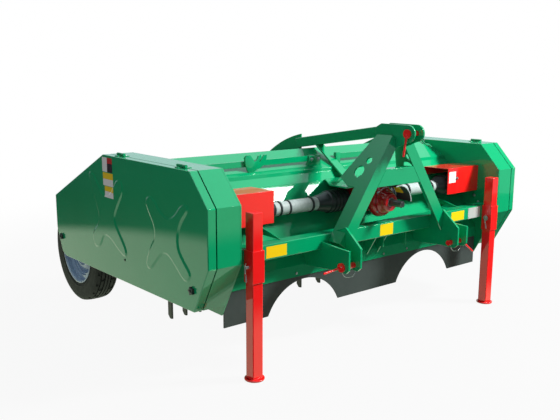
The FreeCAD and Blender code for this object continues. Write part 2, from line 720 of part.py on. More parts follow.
def pto_shield():
    """Black cup round the input shaft, cut away on the left and below."""
    inner = CUP_R - CUP_WALL
    cup = bar_y(CUP_R, CUP_FRONT, NECK_FRONT + NECK_R + 2.0, 0, DRIVE_Z)
    cup = cup.cut(bar_y(inner, CUP_FRONT - CUT, CUP_REAR, 0, DRIVE_Z))
    cup = cup.cut(bar_y(NECK_R, CUP_REAR - CUT, INPUT_REAR, 0, DRIVE_Z))
    reach = CUP_R + CUT
    left = box(-reach, 0.0, CUP_FRONT - CUT, CUP_REAR, DRIVE_Z - reach, DRIVE_Z + NECK_R)
    below = box(-reach, reach, CUP_FRONT - CUT, CUP_REAR, DRIVE_Z - reach, DRIVE_Z - NECK_R)
    return cup.cut(left).cut(below)


# Guarded side shaft, along X: columns x start, x end, radius at start, radius at end
GUARD_SECTIONS = (
    (GEARBOX_HALF, 150.0, 50.0, 58.0),
    (150.0, 262.0, 58.0, 56.0),
    (262.0, 318.0, 56.0, 37.0),
    (318.0, 600.0, 34.0, 34.0),
    (600.0, 646.0, 37.0, 58.0),
    (646.0, 770.0, 58.0, 56.0),
    (770.0, 800.0, 40.0, 40.0),
)


def side_shaft():
    pieces = []
    for x0, x1, r0, r1 in GUARD_SECTIONS:
        if r0 == r1:
            pieces.append(bar_x(r0, x0, x1, DRIVE_Y, DRIVE_Z))
        else:
            pieces.append(cone_x(r0, r1, x0, x1, DRIVE_Y, DRIVE_Z))
    return fuse(*pieces)


def shaft_shield():
    """Folded red sheet over the outer joint of a side shaft, open inward and below."""
    points = [(sheet_y(SHIELD_REAR_Z) - GAP, SHIELD_REAR_Z), (SHIELD_REAR_Y, SHIELD_TOP - SHEET),
              (SHIELD_FRONT, SHIELD_TOP), (SHIELD_FRONT, SHIELD_LOW)]
    return strip_yz(points, SHEET, SHIELD_IN, SIDE_X).cut(hood()).cut(front_sheet())


def pulley(radius, y, z, shaft_from):
    """Flanged belt pulley on its shaft."""
    wheel = bar_x(radius, PULLEY_IN, PULLEY_OUT, y, z)
    groove = bar_x(radius + CUT, PULLEY_IN + PULLEY_FLANGE, PULLEY_OUT - PULLEY_FLANGE, y, z)
    groove = groove.cut(bar_x(radius - BELT_THICK, PULLEY_IN, PULLEY_OUT, y, z))
    shaft = bar_x(ROTOR_SHAFT_R, shaft_from, PULLEY_OUT + SHAFT_OVER, y, z)
    return fuse(wheel.cut(groove), shaft)


def bearing(y, z):
    start = SIDE_X + PLATE
    ring = bar_x(BEARING_R, start, start + BEARING_DEPTH, y, z)
    return ring.cut(bar_x(ROTOR_SHAFT_R + FIT, start - CUT, start + BEARING_DEPTH + CUT, y, z))


def belt():
    """Belt round both pulleys, a little clear of their grooves."""
    r_top = TOP_PULLEY_R - BELT_THICK
    r_low = LOW_PULLEY_R - BELT_THICK
    x0 = PULLEY_IN + PULLEY_FLANGE + GAP
    x1 = PULLEY_OUT - PULLEY_FLANGE - GAP
    dy, dz = ROTOR_Y - DRIVE_Y, ROTOR_Z - DRIVE_Z
    lean = math.asin((r_top - r_low) / math.hypot(dy, dz))
    along = math.atan2(dz, dy)

    def loop(extra):
        corners = []
        for side in (1, -1):
            angle = along + side * (math.pi / 2 - lean)
            cy, cz = math.cos(angle), math.sin(angle)
            ends = [(DRIVE_Y + (r_top + extra) * cy, DRIVE_Z + (r_top + extra) * cz),
                    (ROTOR_Y + (r_low + extra) * cy, ROTOR_Z + (r_low + extra) * cz)]
            corners += ends if side == 1 else ends[::-1]
        return fuse(bar_x(r_top + extra, x0, x1, DRIVE_Y, DRIVE_Z),
                    bar_x(r_low + extra, x0, x1, ROTOR_Y, ROTOR_Z), plate_yz(corners, x0, x1 - x0))
    return loop(BELT_THICK).cut(loop(GAP))


# Flails along the rotor: x of the first, x of the last, distance apart, radius
FLAIL_GROUPS = (
    (-905.0, -735.0, 42.5, FLAIL_LONG),
    (-640.0, -300.0, 85.0, FLAIL_SHORT),
    (-187.5, 187.5, 75.0, FLAIL_LONG),
    (300.0, 640.0, 85.0, FLAIL_SHORT),
    (735.0, 905.0, 42.5, FLAIL_LONG),
)


def flail(x, radius):
    """One flail that hangs from its lug on the drum: a bar with a bevelled tip."""
    half = FLAIL_WIDTH / 2
    tip = ROTOR_Z - radius
    top = ROTOR_Z - DRUM_R + PLATE
    outline = [(ROTOR_Y - half, top), (ROTOR_Y - half, tip), (ROTOR_Y, tip), (ROTOR_Y + half, tip + half),
               (ROTOR_Y + half, top)]
    bar = plate_yz(outline, x - FLAIL_THICK / 2, FLAIL_THICK)
    eye = ROTOR_Z - DRUM_R - FLAIL_LUG_HEIGHT + FLAIL_LUG_R
    lug = bar_x(FLAIL_LUG_R, x - FLAIL_LUG_THICK / 2, x + FLAIL_LUG_THICK / 2, ROTOR_Y, eye)
    return [bar, lug]


def rotor_reel():
    """Drum with its flails, which alternate between two rows each a quarter turn apart."""
    pieces = [bar_x(DRUM_R, -DRUM_HALF, DRUM_HALF, ROTOR_Y, ROTOR_Z)]
    for first, last, pitch, radius in FLAIL_GROUPS:
        for i in range(round((last - first) / pitch) + 1):
            for turn in (0.0, 180.0):
                for piece in flail(first + i * pitch, radius):
                    piece.rotate(V(0, ROTOR_Y, ROTOR_Z), V(1, 0, 0), i % 2 * 90.0 + turn)
                    pieces.append(piece)
    return fuse(*pieces)


def rotor_shaft():
    return bar_x(ROTOR_SHAFT_R, DRUM_HALF, PULLEY_IN - PULLEY_FLANGE, ROTOR_Y, ROTOR_Z)


def stand_leg():
    """Square tube leg with a round foot plate."""
    half = LEG_TUBE / 2
    tube = box(STAND_X - half, STAND_X + half, STAND_Y - half, STAND_Y + half, FOOT_THICK, STAND_TOP)
    return fuse(tube, Part.makeCylinder(FOOT_R, FOOT_THICK, V(STAND_X, STAND_Y, 0)))


def stand_sleeve():
    """Square sleeve on the front of the beam that the leg slides in."""
    hole = LEG_TUBE / 2 + GAP
    half = hole + SLEEVE_WALL
    outer = box(STAND_X - half, STAND_X + half, STAND_Y - half, BEAM_FRONT, SLEEVE_LOW, SLEEVE_TOP)
    inner = box(STAND_X - hole, STAND_X + hole, STAND_Y - hole, STAND_Y + hole, SLEEVE_LOW - CUT,
                SLEEVE_TOP + CUT)
    return outer.cut(inner)


def wheel_arm():
    """Arm behind the rear beam with a leg down to the stub axle."""
    half = WHEEL_SLEEVE / 2
    leg_half = WHEEL_LEG / 2
    x = WHEEL_ARM_X
    top = REAR_BEAM_Z + REAR_BEAM_SIZE
    arm = box(x - half, x + half, REAR_BEAM_Y + REAR_BEAM_SIZE, WHEEL_Y - half, REAR_BEAM_Z, top)
    sleeve = box(x - half, x + half, WHEEL_Y - half, WHEEL_Y + half, WHEEL_SLEEVE_LOW,
                 top + WHEEL_SLEEVE_RISE)
    leg = box(x - leg_half, x + leg_half, WHEEL_Y - leg_half, WHEEL_Y + leg_half,
              TYRE_R - WHEEL_SLEEVE / 2, top + WHEEL_LEG_RISE)
    return fuse(arm, sleeve, leg)


def axle():
    start = WHEEL_ARM_X + WHEEL_LEG / 2
    return fuse(bar_x(AXLE_R, start, TYRE_OUT - AXLE_SHORT, WHEEL_Y, TYRE_R),
                bar_x(AXLE_COLLAR_R, start, WHEEL_IN - HUB_IN - GAP, WHEEL_Y, TYRE_R))


def turned(section):
    """Ring round the wheel's axis from a closed section of (offset from the wheel's middle, radius)."""
    corners = [V(WHEEL_MID + x, WHEEL_Y, TYRE_R + r) for x, r in section]
    face = Part.Face(Part.makePolygon(corners + corners[:1]))
    return face.revolve(V(0, WHEEL_Y, TYRE_R), V(1, 0, 0), 360)


def rim():
    """Rim with seats for the beads, a dropped well, a disc and the hub."""
    seat = TYRE_WIDTH / 2 - TYRE_BEAD
    well = seat - RIM_SEAT
    inner = RIM_R - RIM_WALL
    shell = turned([(-seat, RIM_R), (-well, RIM_R), (-well, RIM_WELL_R), (well, RIM_WELL_R), (well, RIM_R),
                    (seat, RIM_R), (seat, inner), (well - RIM_WALL, inner),
                    (well - RIM_WALL, RIM_WELL_R - RIM_WALL), (RIM_WALL - well, RIM_WELL_R - RIM_WALL),
                    (RIM_WALL - well, inner), (-seat, inner)])
    disc = bar_x(RIM_WELL_R - RIM_WALL / 2, WHEEL_MID, WHEEL_MID + RIM_DISC, WHEEL_Y, TYRE_R)
    hub = bar_x(HUB_R, WHEEL_IN - HUB_IN, WHEEL_MID + HUB_OVER, WHEEL_Y, TYRE_R)
    bore = bar_x(AXLE_R + FIT, WHEEL_ARM_X, TYRE_OUT + CUT, WHEEL_Y, TYRE_R)
    return fuse(shell, disc, hub).cut(bore)


def tyre():
    half = TYRE_WIDTH / 2
    side = [(half - TYRE_BEAD, RIM_R), (half, TYRE_FLANK_R), (half - TYRE_SHOULDER, TYRE_R)]
    return turned(side + [(-x, r) for x, r in side[::-1]])


def shaft_rail():
    """Rails across the hood on their stands, with a hook that holds the tractor shaft when it is off."""
    top = RAIL_LOW + RAIL_HEIGHT
    rear = RAIL_Y + RAIL_THICK
    pieces = [box(x0, x1, RAIL_Y, rear, RAIL_LOW, top) for x0, x1 in RAIL_RUNS]
    post = [(rear, hood_height(rear)), (rear + RAIL_POST_DEPTH, hood_height(rear + RAIL_POST_DEPTH)),
            (rear + RAIL_POST_DEPTH, top), (rear, top)]
    pieces += [plate_yz(post, x, PLATE) for x in RAIL_POSTS]
    hook = plate_xz(list(HOOK_OUTLINE), RAIL_Y - PLATE, PLATE)
    return fuse(*pieces, hook)


keep_both("side_plates", side_plate())
keep_both("belt_cases", belt_case())
keep_pair("lid", lid())
keep_pair("lid_knobs", lid_knobs())
keep("hood", hood())
keep("front_sheet", front_sheet())
keep("front_skirt", skirt())
keep("rear_curtain", curtain())
keep("front_beam", front_beam())
keep("rear_beam", rear_beam())
keep("beam_gussets", beam_gussets())
keep_pair("headstock_leg", headstock_leg())
keep("headstock_cross", headstock_cross())
keep("top_ears", top_ears())
keep("top_pin", top_pin())
keep_both("lower_ears", lower_ears())
keep_both("lower_pins", lower_pin(78.0), lower_pin(10.0))
keep("top_brace", top_brace())
keep("brace_fin", brace_fin())
keep("brace_stay", brace_stay())
keep("gearbox_shelf", gearbox_shelf())
keep("gearbox", gearbox())
keep("input_shaft", input_shaft())
keep("pto_shield", pto_shield())
keep_both("side_shafts", side_shaft())
keep_both("shaft_shields", shaft_shield())
keep_both("shaft_bearings", Part.makeCompound([bearing(DRIVE_Y, DRIVE_Z), bearing(ROTOR_Y, ROTOR_Z)]))
keep_pair("drive_pulley", pulley(TOP_PULLEY_R, DRIVE_Y, DRIVE_Z, GUARD_SECTIONS[-1][1]))
keep_both("rotor_pulleys", pulley(LOW_PULLEY_R, ROTOR_Y, ROTOR_Z, PULLEY_IN - PULLEY_FLANGE))
keep_both("belts", belt())
keep("rotor_reel", rotor_reel())
keep_both("rotor_shaft", rotor_shaft())
keep("shaft_rail", shaft_rail())
keep_both("stand_sleeves", stand_sleeve())
keep_pair("stand_leg", stand_leg())
keep_both("wheel_arms", wheel_arm())
keep_both("axles", axle())
keep_pair("rim", rim())
keep_pair("tyre", tyre())

FRONT_END = TOP_Y - TOP_EAR_R
REAR_END = WHEEL_Y + TYRE_R
MIDDLE_Y = (FRONT_END + REAR_END) / 2
for name, shape in NODES.items():
    shape.translate(V(0, -MIDDLE_Y, 0))
    shape.exportStep(f"parts/{name}.step")
    box_ = shape.BoundBox
    print(name, len(shape.Solids), shape.isValid(), round(shape.Volume / 1e6, 2),
          [round(v) for v in (box_.XMin, box_.XMax, box_.YMin, box_.YMax, box_.ZMin, box_.ZMax)])
print("nodes", len(NODES), "middle", MIDDLE_Y)
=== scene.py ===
import bmesh
import bpy
import json
import math
from mathutils import Matrix, Vector
from mathutils.bvhtree import BVHTree


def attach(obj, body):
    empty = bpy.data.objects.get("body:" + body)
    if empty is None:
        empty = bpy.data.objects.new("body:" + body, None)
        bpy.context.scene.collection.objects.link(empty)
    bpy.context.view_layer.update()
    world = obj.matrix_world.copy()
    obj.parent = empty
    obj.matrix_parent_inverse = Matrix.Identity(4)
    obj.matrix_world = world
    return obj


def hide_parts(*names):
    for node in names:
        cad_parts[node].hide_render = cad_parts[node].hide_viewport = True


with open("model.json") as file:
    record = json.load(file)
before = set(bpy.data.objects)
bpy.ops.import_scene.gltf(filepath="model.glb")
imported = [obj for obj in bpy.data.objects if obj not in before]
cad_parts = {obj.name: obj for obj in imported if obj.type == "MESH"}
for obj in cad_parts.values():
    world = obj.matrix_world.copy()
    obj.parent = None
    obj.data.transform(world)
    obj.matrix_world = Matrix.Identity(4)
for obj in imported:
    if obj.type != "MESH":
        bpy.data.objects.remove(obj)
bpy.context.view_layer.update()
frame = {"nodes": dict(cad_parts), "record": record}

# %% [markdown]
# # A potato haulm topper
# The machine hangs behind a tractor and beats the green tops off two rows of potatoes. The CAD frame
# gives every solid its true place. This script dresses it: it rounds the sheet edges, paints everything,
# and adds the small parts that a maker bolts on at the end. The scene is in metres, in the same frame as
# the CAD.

NODES = frame["nodes"]
SUBPARTS = frame["record"]["subparts"]
MODEL_SHIFT = -0.71255      # the CAD model is drawn from the front skirt and then moved by this along Y

# %% [markdown]
# ## Numbers that vary over a surface
# A paint is never one flat colour: it has faint clouds, a fine orange peel and duller spots. In Blender
# such things are small sums over noise. Writing each Math node by hand hides the sum, so one class wraps
# a socket and lets Python's own operators add the nodes. A second class adds the nodes to a tree, for a
# material as for the world.

# %% A socket that can be added and multiplied
class Field:
    """A number or colour that varies over a surface, as the output socket of a node."""

    def __init__(self, wiring, socket):
        self.wiring = wiring
        self.socket = socket

    def __add__(self, other):
        return self.wiring.maths("ADD", self, other)

    def __radd__(self, other):
        return self.wiring.maths("ADD", other, self)

    def __sub__(self, other):
        return self.wiring.maths("SUBTRACT", self, other)

    def __rsub__(self, other):
        return self.wiring.maths("SUBTRACT", other, self)

    def __mul__(self, other):
        return self.wiring.maths("MULTIPLY", self, other)

    def __rmul__(self, other):
        return self.wiring.maths("MULTIPLY", other, self)

    def __pow__(self, other):
        return self.wiring.maths("POWER", self, other)


# %% Wiring: the nodes of one material or of the world
COLOUR_SOCKETS = (6, 7, 2)      # of a Mix node: first, second, result
NUMBER_SOCKETS = (2, 3, 0)


class Wiring:
    """A node tree that is emptied, and the few kinds of node that this script needs."""

    def __init__(self, tree, coordinates):
        self.tree = tree
        self.tree.nodes.clear()
        self.place = self.field("ShaderNodeTexCoord", output=coordinates)

    def node(self, kind, settings=None, inputs=None):
        """Any node: its settings first, then the values or links of its sockets."""
        made = self.tree.nodes.new(kind)
        for label, value in (settings or {}).items():
            setattr(made, label, value)
        for label, value in (inputs or {}).items():
            if isinstance(value, Field):
                self.tree.links.new(value.socket, made.inputs[label])
            else:
                made.inputs[label].default_value = value
        return made

    def field(self, kind, settings=None, inputs=None, output=0):
        """One output of a new node."""
        return Field(self, self.node(kind, settings, inputs).outputs[output])

    def maths(self, operation, first, second):
        return self.field("ShaderNodeMath", {"operation": operation}, {0: first, 1: second})

    def along(self, axis):
        """One coordinate of a place, or of a direction in the world."""
        return self.field("ShaderNodeSeparateXYZ", None, {0: self.place}, axis)

    def span(self, value, low, high, start=0.0, end=1.0):
        """Runs smoothly from start to end as value runs from low to high."""
        return self.field("ShaderNodeMapRange", {"interpolation_type": "SMOOTHSTEP"},
                          {"Value": value, "From Min": low, "From Max": high,
                           "To Min": start, "To Max": end})

    def mix(self, kind, sockets, mask, first, second):
        return self.field("ShaderNodeMix", {"data_type": kind},
                          {"Factor": mask, sockets[0]: first, sockets[1]: second}, sockets[2])

    def blend(self, mask, first, second):
        """A colour that goes from first to second as mask goes from 0 to 1."""
        return self.mix("RGBA", COLOUR_SOCKETS, mask, first, second)

    def level(self, mask, first, second):
        """A number that goes from first to second as mask goes from 0 to 1."""
        return self.mix("FLOAT", NUMBER_SOCKETS, mask, first, second)

    def ray(self, kind):
        """1 where the light path is of a kind, such as a mirrored one, and 0 elsewhere."""
        return self.field("ShaderNodeLightPath", output=kind)


# %% [markdown]
# ## A finish
# Each finish is one Principled shader. What is the same all over is set on its own sockets. What changes
# goes through the wrapped sockets into colour, roughness and normal.

# %% Finish: one material
class Finish(Wiring):
    """A material with one Principled shader, wired by the places of the object."""

    def __init__(self, name, **constants):
        self.material = bpy.data.materials.new(name)
        self.material.use_nodes = True
        super().__init__(self.material.node_tree, "Object")
        self.shader = self.node("ShaderNodeBsdfPrincipled")
        self.surface = Field(self, self.shader.outputs[0])
        self.output = self.node("ShaderNodeOutputMaterial", None, {0: self.surface})
        for label, value in constants.items():
            self.shader.inputs[label.replace("_", " ")].default_value = value

    def noise(self, scale, detail=3.0, roughness=0.5):
        return self.field("ShaderNodeTexNoise", None, {"Vector": self.place, "Scale": scale,
                                                       "Detail": detail, "Roughness": roughness})

    def feed(self, label, value):
        self.tree.links.new(value.socket, self.shader.inputs[label])

    def relief(self, height, depth):
        """Fine unevenness: height from 0 to 1 over a depth in metres."""
        self.feed("Normal", self.field("ShaderNodeBump", None, {"Height": height, "Distance": depth,
                                                                "Strength": 1.0}))


# %% Colours
def linear(red, green, blue):
    """A colour as a screen shows it, 0 to 255, turned into the light it stands for."""
    parts = []
    for value in (red, green, blue):
        value /= 255.0
        parts.append(value / 12.92 if value <= 0.04045 else ((value + 0.055) / 1.055) ** 2.4)
    return (*parts, 1.0)


# %% [markdown]
# ## The paints
# The machine is sprayed in a green enamel over steel that was welded first, with red for what the driver
# handles and dark red for the gearbox casting. Enamel is a colour under a clear skin: a coat of full
# weight with its own low roughness gives the sharp reflections, and a rougher base under it keeps the
# colour deep.

# %% Enamel paints
def enamel(name, colour, deeper, peel=0.00012):
    finish = Finish(name, Coat_Weight=1.0, Coat_Roughness=0.03, Coat_IOR=1.6, IOR=1.4,
                    Specular_IOR_Level=0.15)
    clouds = finish.noise(1.7, 4.0)
    specks = finish.noise(90.0, 2.0)
    finish.feed("Base Color", finish.blend(clouds * 0.7 + specks * 0.25, colour, deeper))
    finish.feed("Roughness", 0.34 + finish.noise(6.0) * 0.16)
    finish.relief(finish.noise(420.0, 1.0) * 0.5 + finish.noise(11.0, 2.0) * 2.0, peel)
    return finish.material


GREEN = enamel("green_enamel", linear(0, 166, 108), linear(0, 144, 90))
RED = enamel("red_enamel", linear(248, 30, 28), linear(232, 19, 21))
DARK_RED = enamel("casting_red", linear(176, 22, 26), linear(120, 12, 16), peel=0.0006)
YELLOW = enamel("sticker_yellow", linear(246, 214, 24), linear(236, 200, 12))
WHITE = enamel("sticker_white", linear(240, 240, 238), linear(226, 228, 228))
STICKER_RED = enamel("sticker_red", linear(206, 44, 40), linear(190, 34, 34))
STICKER_DARK = enamel("sticker_dark", linear(58, 40, 52), linear(46, 32, 44))
print("paints", [material.name for material in (GREEN, RED, DARK_RED)])

# %% [markdown]
# ## Steel, plastic and rubber
# Bare metal, moulded plastic and rubber have no clear skin. Zinc-plated fasteners are metallic and a
# little cloudy. The guard tubes are a grey moulded plastic with rubbed spots. Rubber is dark, rough and
# slightly dusty, and the sheet of the skirt is greyer than the tyres.

# %% Bare materials
def zinc():
    finish = Finish("zinc_plate", Metallic=1.0)
    clouds = finish.noise(40.0)
    finish.feed("Base Color", finish.blend(clouds, linear(206, 208, 210), linear(160, 163, 168)))
    finish.feed("Roughness", 0.24 + finish.noise(60.0) * 0.2)
    finish.relief(finish.noise(300.0), 0.0001)
    return finish.material


def turned_steel():
    finish = Finish("turned_steel", Metallic=1.0)
    clouds = finish.noise(25.0)
    finish.feed("Base Color", finish.blend(clouds, linear(150, 150, 152), linear(96, 95, 96)))
    finish.feed("Roughness", 0.3 + finish.noise(30.0) * 0.25)
    finish.relief(finish.noise(500.0), 0.00015)
    return finish.material


def moulded(name, colour, worn, gloss):
    finish = Finish(name, IOR=1.48)
    finish.feed("Base Color", finish.blend(finish.noise(14.0, 4.0), colour, worn))
    finish.feed("Roughness", gloss + finish.noise(50.0) * 0.15)
    finish.relief(finish.noise(700.0, 2.0), 0.0002)
    return finish.material


def rubber(name, colour, dusty, grain):
    finish = Finish(name, IOR=1.42)
    dust = finish.noise(5.0, 5.0) * 0.6 + finish.noise(60.0, 3.0) * 0.4
    finish.feed("Base Color", finish.blend(dust, colour, dusty))
    finish.feed("Roughness", 0.55 + finish.noise(30.0) * 0.25)
    finish.relief(finish.noise(260.0, 4.0, 0.7), grain)
    return finish.material


ZINC = zinc()
STEEL = turned_steel()
BLACK_PLASTIC = moulded("black_plastic", linear(26, 32, 34), linear(44, 52, 54), 0.3)
GREY_PLASTIC = moulded("guard_tube_grey", linear(160, 174, 172), linear(186, 198, 195), 0.2)
BLACK_STEEL = moulded("blackened_steel", linear(16, 17, 18), linear(34, 33, 32), 0.35)
SKIRT_RUBBER = rubber("skirt_rubber", linear(52, 60, 58), linear(68, 76, 73), 0.0003)
TYRE_RUBBER = rubber("tyre_rubber", linear(17, 18, 19), linear(38, 39, 39), 0.0004)
RIM_PAINT = enamel("rim_silver", linear(150, 176, 205), linear(130, 158, 190), peel=0.0002)
print("materials", len(bpy.data.materials))

# %% [markdown]
# ## Rounded sheet metal
# A CAD solid has knife edges, and a knife edge never catches the light. Folded sheet, sawn tube and
# castings all have a small radius that shows as a bright line. Each solid is copied, its loose triangles
# are merged into the faces they came from, and its sharp edges are bevelled. The copy stands for the CAD
# node.


def body_of_node(node):
    for body, names in frame["record"]["behaviour"]["bodies"].items():
        if node in names:
            return body
    return "frame"


def finished(name, bm, material, body="frame", replaces=(), smooth_angle=None):
    """Turns a bmesh into an object at the origin that rides on a CAD body."""
    mesh = bpy.data.meshes.new(name)
    bm.to_mesh(mesh)
    bm.free()
    mesh.materials.append(material)
    piece = bpy.data.objects.new(name, mesh)
    bpy.context.scene.collection.objects.link(piece)
    if smooth_angle is not None:
        mesh.shade_smooth()
        mesh.set_sharp_from_angle(angle=math.radians(smooth_angle))
    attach(piece, body)
    if replaces:
        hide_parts(*replaces)
    return piece


# %% Edges that catch the light
MERGE = 0.00002
FLAT_ANGLE = math.radians(0.3)      # triangles that differ by less lie in one flat face
CURVED_STRIP = 0.03     # a curved CAD surface is cut into strips narrower than this,
CURVED_FOLD = (0.006, 0.45)     # which meet at an angle between these


def bevelled(bm, edges, width, segments=2):
    bmesh.ops.bevel(bm, geom=edges, offset=width, offset_type="OFFSET", segments=segments, profile=0.5,
                    affect="EDGES", clamp_overlap=True, material=-1)


def fold_of(edge):
    """The angle between an edge's two faces, and 0 for any other edge."""
    return edge.calc_face_angle(0.0) if len(edge.link_faces) == 2 else 0.0


def sharp_edges(bm, degrees=28.0):
    return [edge for edge in bm.edges if fold_of(edge) > math.radians(degrees)]


def breadth(face):
    """About how wide a long face is."""
    return 2.0 * face.calc_area() / face.calc_perimeter()


def solid_of(node):
    """A bmesh of a CAD node with its triangles merged into whole faces."""
    bm = bmesh.new()
    bm.from_mesh(NODES[node].data)
    bmesh.ops.remove_doubles(bm, verts=bm.verts, dist=MERGE)
    bmesh.ops.dissolve_limit(bm, angle_limit=FLAT_ANGLE, verts=bm.verts, edges=bm.edges)
    return bm


def rounded(node, material, width, segments=2):
    """The CAD node again, with rounded edges and its finish."""
    bm = solid_of(node)
    curved = set()
    for edge in bm.edges:
        if CURVED_FOLD[0] < fold_of(edge) < CURVED_FOLD[1]:
            curved.update(face for face in edge.link_faces if breadth(face) < CURVED_STRIP)
    for face in bm.faces:
        face.smooth = face in curved
    bevelled(bm, sharp_edges(bm), width, segments)
    for face in bm.faces:
        face.smooth = face.smooth or breadth(face) < width
    bmesh.ops.triangulate(bm, faces=[face for face in bm.faces if len(face.verts) > 4])
    return finished("edged_" + node, bm, material, body_of_node(node), (node,))


# %% Rounding the frame's solids: node, material, edge radius
ROUNDED = (
    ("side_plates", GREEN, 0.0012), ("belt_cases", GREEN, 0.0010), ("hood", GREEN, 0.0016),
    ("front_sheet", GREEN, 0.0014), ("front_beam", GREEN, 0.0035), ("rear_beam", GREEN, 0.0040),
    ("beam_gussets", GREEN, 0.0012), ("headstock_leg_left", GREEN, 0.0016),
    ("headstock_leg_right", GREEN, 0.0016), ("headstock_cross", GREEN, 0.0030),
    ("top_ears", GREEN, 0.0018), ("lower_ears", GREEN, 0.0018), ("top_brace", GREEN, 0.0040),
    ("brace_fin", GREEN, 0.0012), ("brace_stay", GREEN, 0.0015), ("gearbox_shelf", GREEN, 0.0012),
    ("shaft_rail", GREEN, 0.0012), ("wheel_arms", GREEN, 0.0040), ("shaft_shields", RED, 0.0010),
    ("stand_sleeves", RED, 0.0015), ("stand_leg_left", RED, 0.0040), ("stand_leg_right", RED, 0.0040),
    ("gearbox", DARK_RED, 0.0040), ("front_skirt", SKIRT_RUBBER, 0.0010),
    ("rear_curtain", SKIRT_RUBBER, 0.0010), ("rim_left", RIM_PAINT, 0.0020),
    ("rim_right", RIM_PAINT, 0.0020), ("rotor_reel", BLACK_STEEL, 0.0012),
)
for node, material, width in ROUNDED:
    piece = rounded(node, material, width)
    print(node, len(piece.data.polygons), "faces")

# %% Finishes of the nodes that stay as they are
KEPT = {
    "green_paint": GREEN, "red_paint": RED, "dark_red_paint": DARK_RED, "black_plastic": BLACK_PLASTIC,
    "black_rubber": SKIRT_RUBBER, "tyre": TYRE_RUBBER, "rim_paint": RIM_PAINT, "black_steel": BLACK_STEEL,
    "bare_steel": STEEL,
}
for part in SUBPARTS:
    mesh = NODES[part["node"]].data
    mesh.materials.clear()
    mesh.materials.append(KEPT[part["material_slot"]])
print("finishes for", len(SUBPARTS), "nodes")

# %% [markdown]
# ## Shapes that repeat
# Most small parts are turned on a lathe, cut from bar or bent from wire. Each helper below adds one such
# shape to a bmesh, so one piece can gather many. Places are written in the millimetres of the workshop
# drawing, which counts along the machine from the front skirt.

# %% Places and plain shapes
X, Y, Z = Vector((1, 0, 0)), Vector((0, 1, 0)), Vector((0, 0, 1))
SIDES = (("left", -1), ("right", 1))


def at(x, y, z):
    """A place of the drawing, in millimetres, as scene metres."""
    return Vector((x / 1000.0, y / 1000.0 + MODEL_SHIFT, z / 1000.0))


def join(bm, part):
    """Adds the bmesh part to bm."""
    mesh = bpy.data.meshes.new("part")
    part.to_mesh(mesh)
    part.free()
    bm.from_mesh(mesh)
    bpy.data.meshes.remove(mesh)


def raised(bm, faces, way):
    """Faces pulled along a vector, which leaves walls behind them."""
    made = bmesh.ops.extrude_face_region(bm, geom=faces)["geom"]
    verts = [part for part in made if isinstance(part, bmesh.types.BMVert)]
    bmesh.ops.translate(bm, verts=verts, vec=way)
    bmesh.ops.recalc_face_normals(bm, faces=bm.faces)


def cut_plate(bm, places, way):
    """A plate cut along an outline of scene places; its thickness lies along a vector."""
    face = bm.faces.new([bm.verts.new(place) for place in places])
    raised(bm, [face], way)


def block(bm, low, high, bevel=0.0):
    """A block between two places of the drawing."""
    low, high = at(*low), at(*high)
    size = high - low
    place = Matrix.Translation((low + high) / 2) @ Matrix.Diagonal((*size, 1.0))
    part = bmesh.new()
    bmesh.ops.create_cube(part, size=1.0, matrix=place)
    bmesh.ops.recalc_face_normals(part, faces=part.faces)
    if bevel:
        bevelled(part, part.edges[:], bevel / 1000.0)
    join(bm, part)


print("sides", [word for word, side in SIDES])

# %% Lathe work and bolts
def lathe(bm, section, middle, axis, steps=40, angle=math.tau, start=0.0):
    """Spins a section of (along, radius) points, in millimetres, about an axis through middle."""
    along = axis.normalized()
    aside = Z if abs(along.z) < 0.9 else X
    out = (aside - along * aside.dot(along)).normalized()
    out = Matrix.Rotation(start, 3, along) @ out
    part = bmesh.new()
    ring = [part.verts.new(middle + along * (a / 1000.0) + out * (r / 1000.0)) for a, r in section]
    edges = [part.edges.new(pair) for pair in zip(ring, ring[1:])]
    bmesh.ops.spin(part, geom=ring + edges, cent=middle, axis=along, angle=angle, steps=steps,
                   use_merge=angle == math.tau)
    bmesh.ops.remove_doubles(part, verts=part.verts, dist=1e-6)
    bmesh.ops.recalc_face_normals(part, faces=part.faces)
    join(bm, part)


def bolt(bm, place, axis, reach=9.0, wide=9.0):
    """A hexagon head on a washer, standing out along the axis."""
    washer = 1.6
    lathe(bm, ((0, 0), (0, wide * 1.25), (washer, wide * 1.25), (washer, 0)), place, axis, 24)
    lathe(bm, ((washer, wide * 0.9), (reach - 1.2, wide * 0.9), (reach, wide * 0.72), (reach, 0)),
          place, axis, 6)


# %% Bent wire
def wire(bm, places, thick):
    """Round wire of a thickness in millimetres, bent smoothly along places of the drawing."""
    curve = bpy.data.curves.new("wire", "CURVE")
    curve.dimensions = "3D"
    curve.bevel_depth = thick / 2000.0
    curve.bevel_resolution = 2
    curve.use_fill_caps = True
    spline = curve.splines.new("NURBS")
    spline.points.add(len(places) - 1)
    for point, place in zip(spline.points, places):
        point.co = (*at(*place), 1.0)
    spline.order_u = 3
    spline.resolution_u = 6
    spline.use_endpoint_u = True
    holder = bpy.data.objects.new("wire", curve)
    mesh = bpy.data.meshes.new_from_object(holder)
    bm.from_mesh(mesh)
    bpy.data.objects.remove(holder)
    bpy.data.curves.remove(curve)
    bpy.data.meshes.remove(mesh)


# %% [markdown]
# ## The side lids
# Each lid is one steel sheet, pressed in a die. The press folds the rim all round and pushes two crosses
# out of the flat, which stops a thin sheet from drumming. Here the flat is filled between the outline and
# the two crosses. Each cross is then inset in short steps that rise slowly, fast and slowly again, as
# drawn steel does.

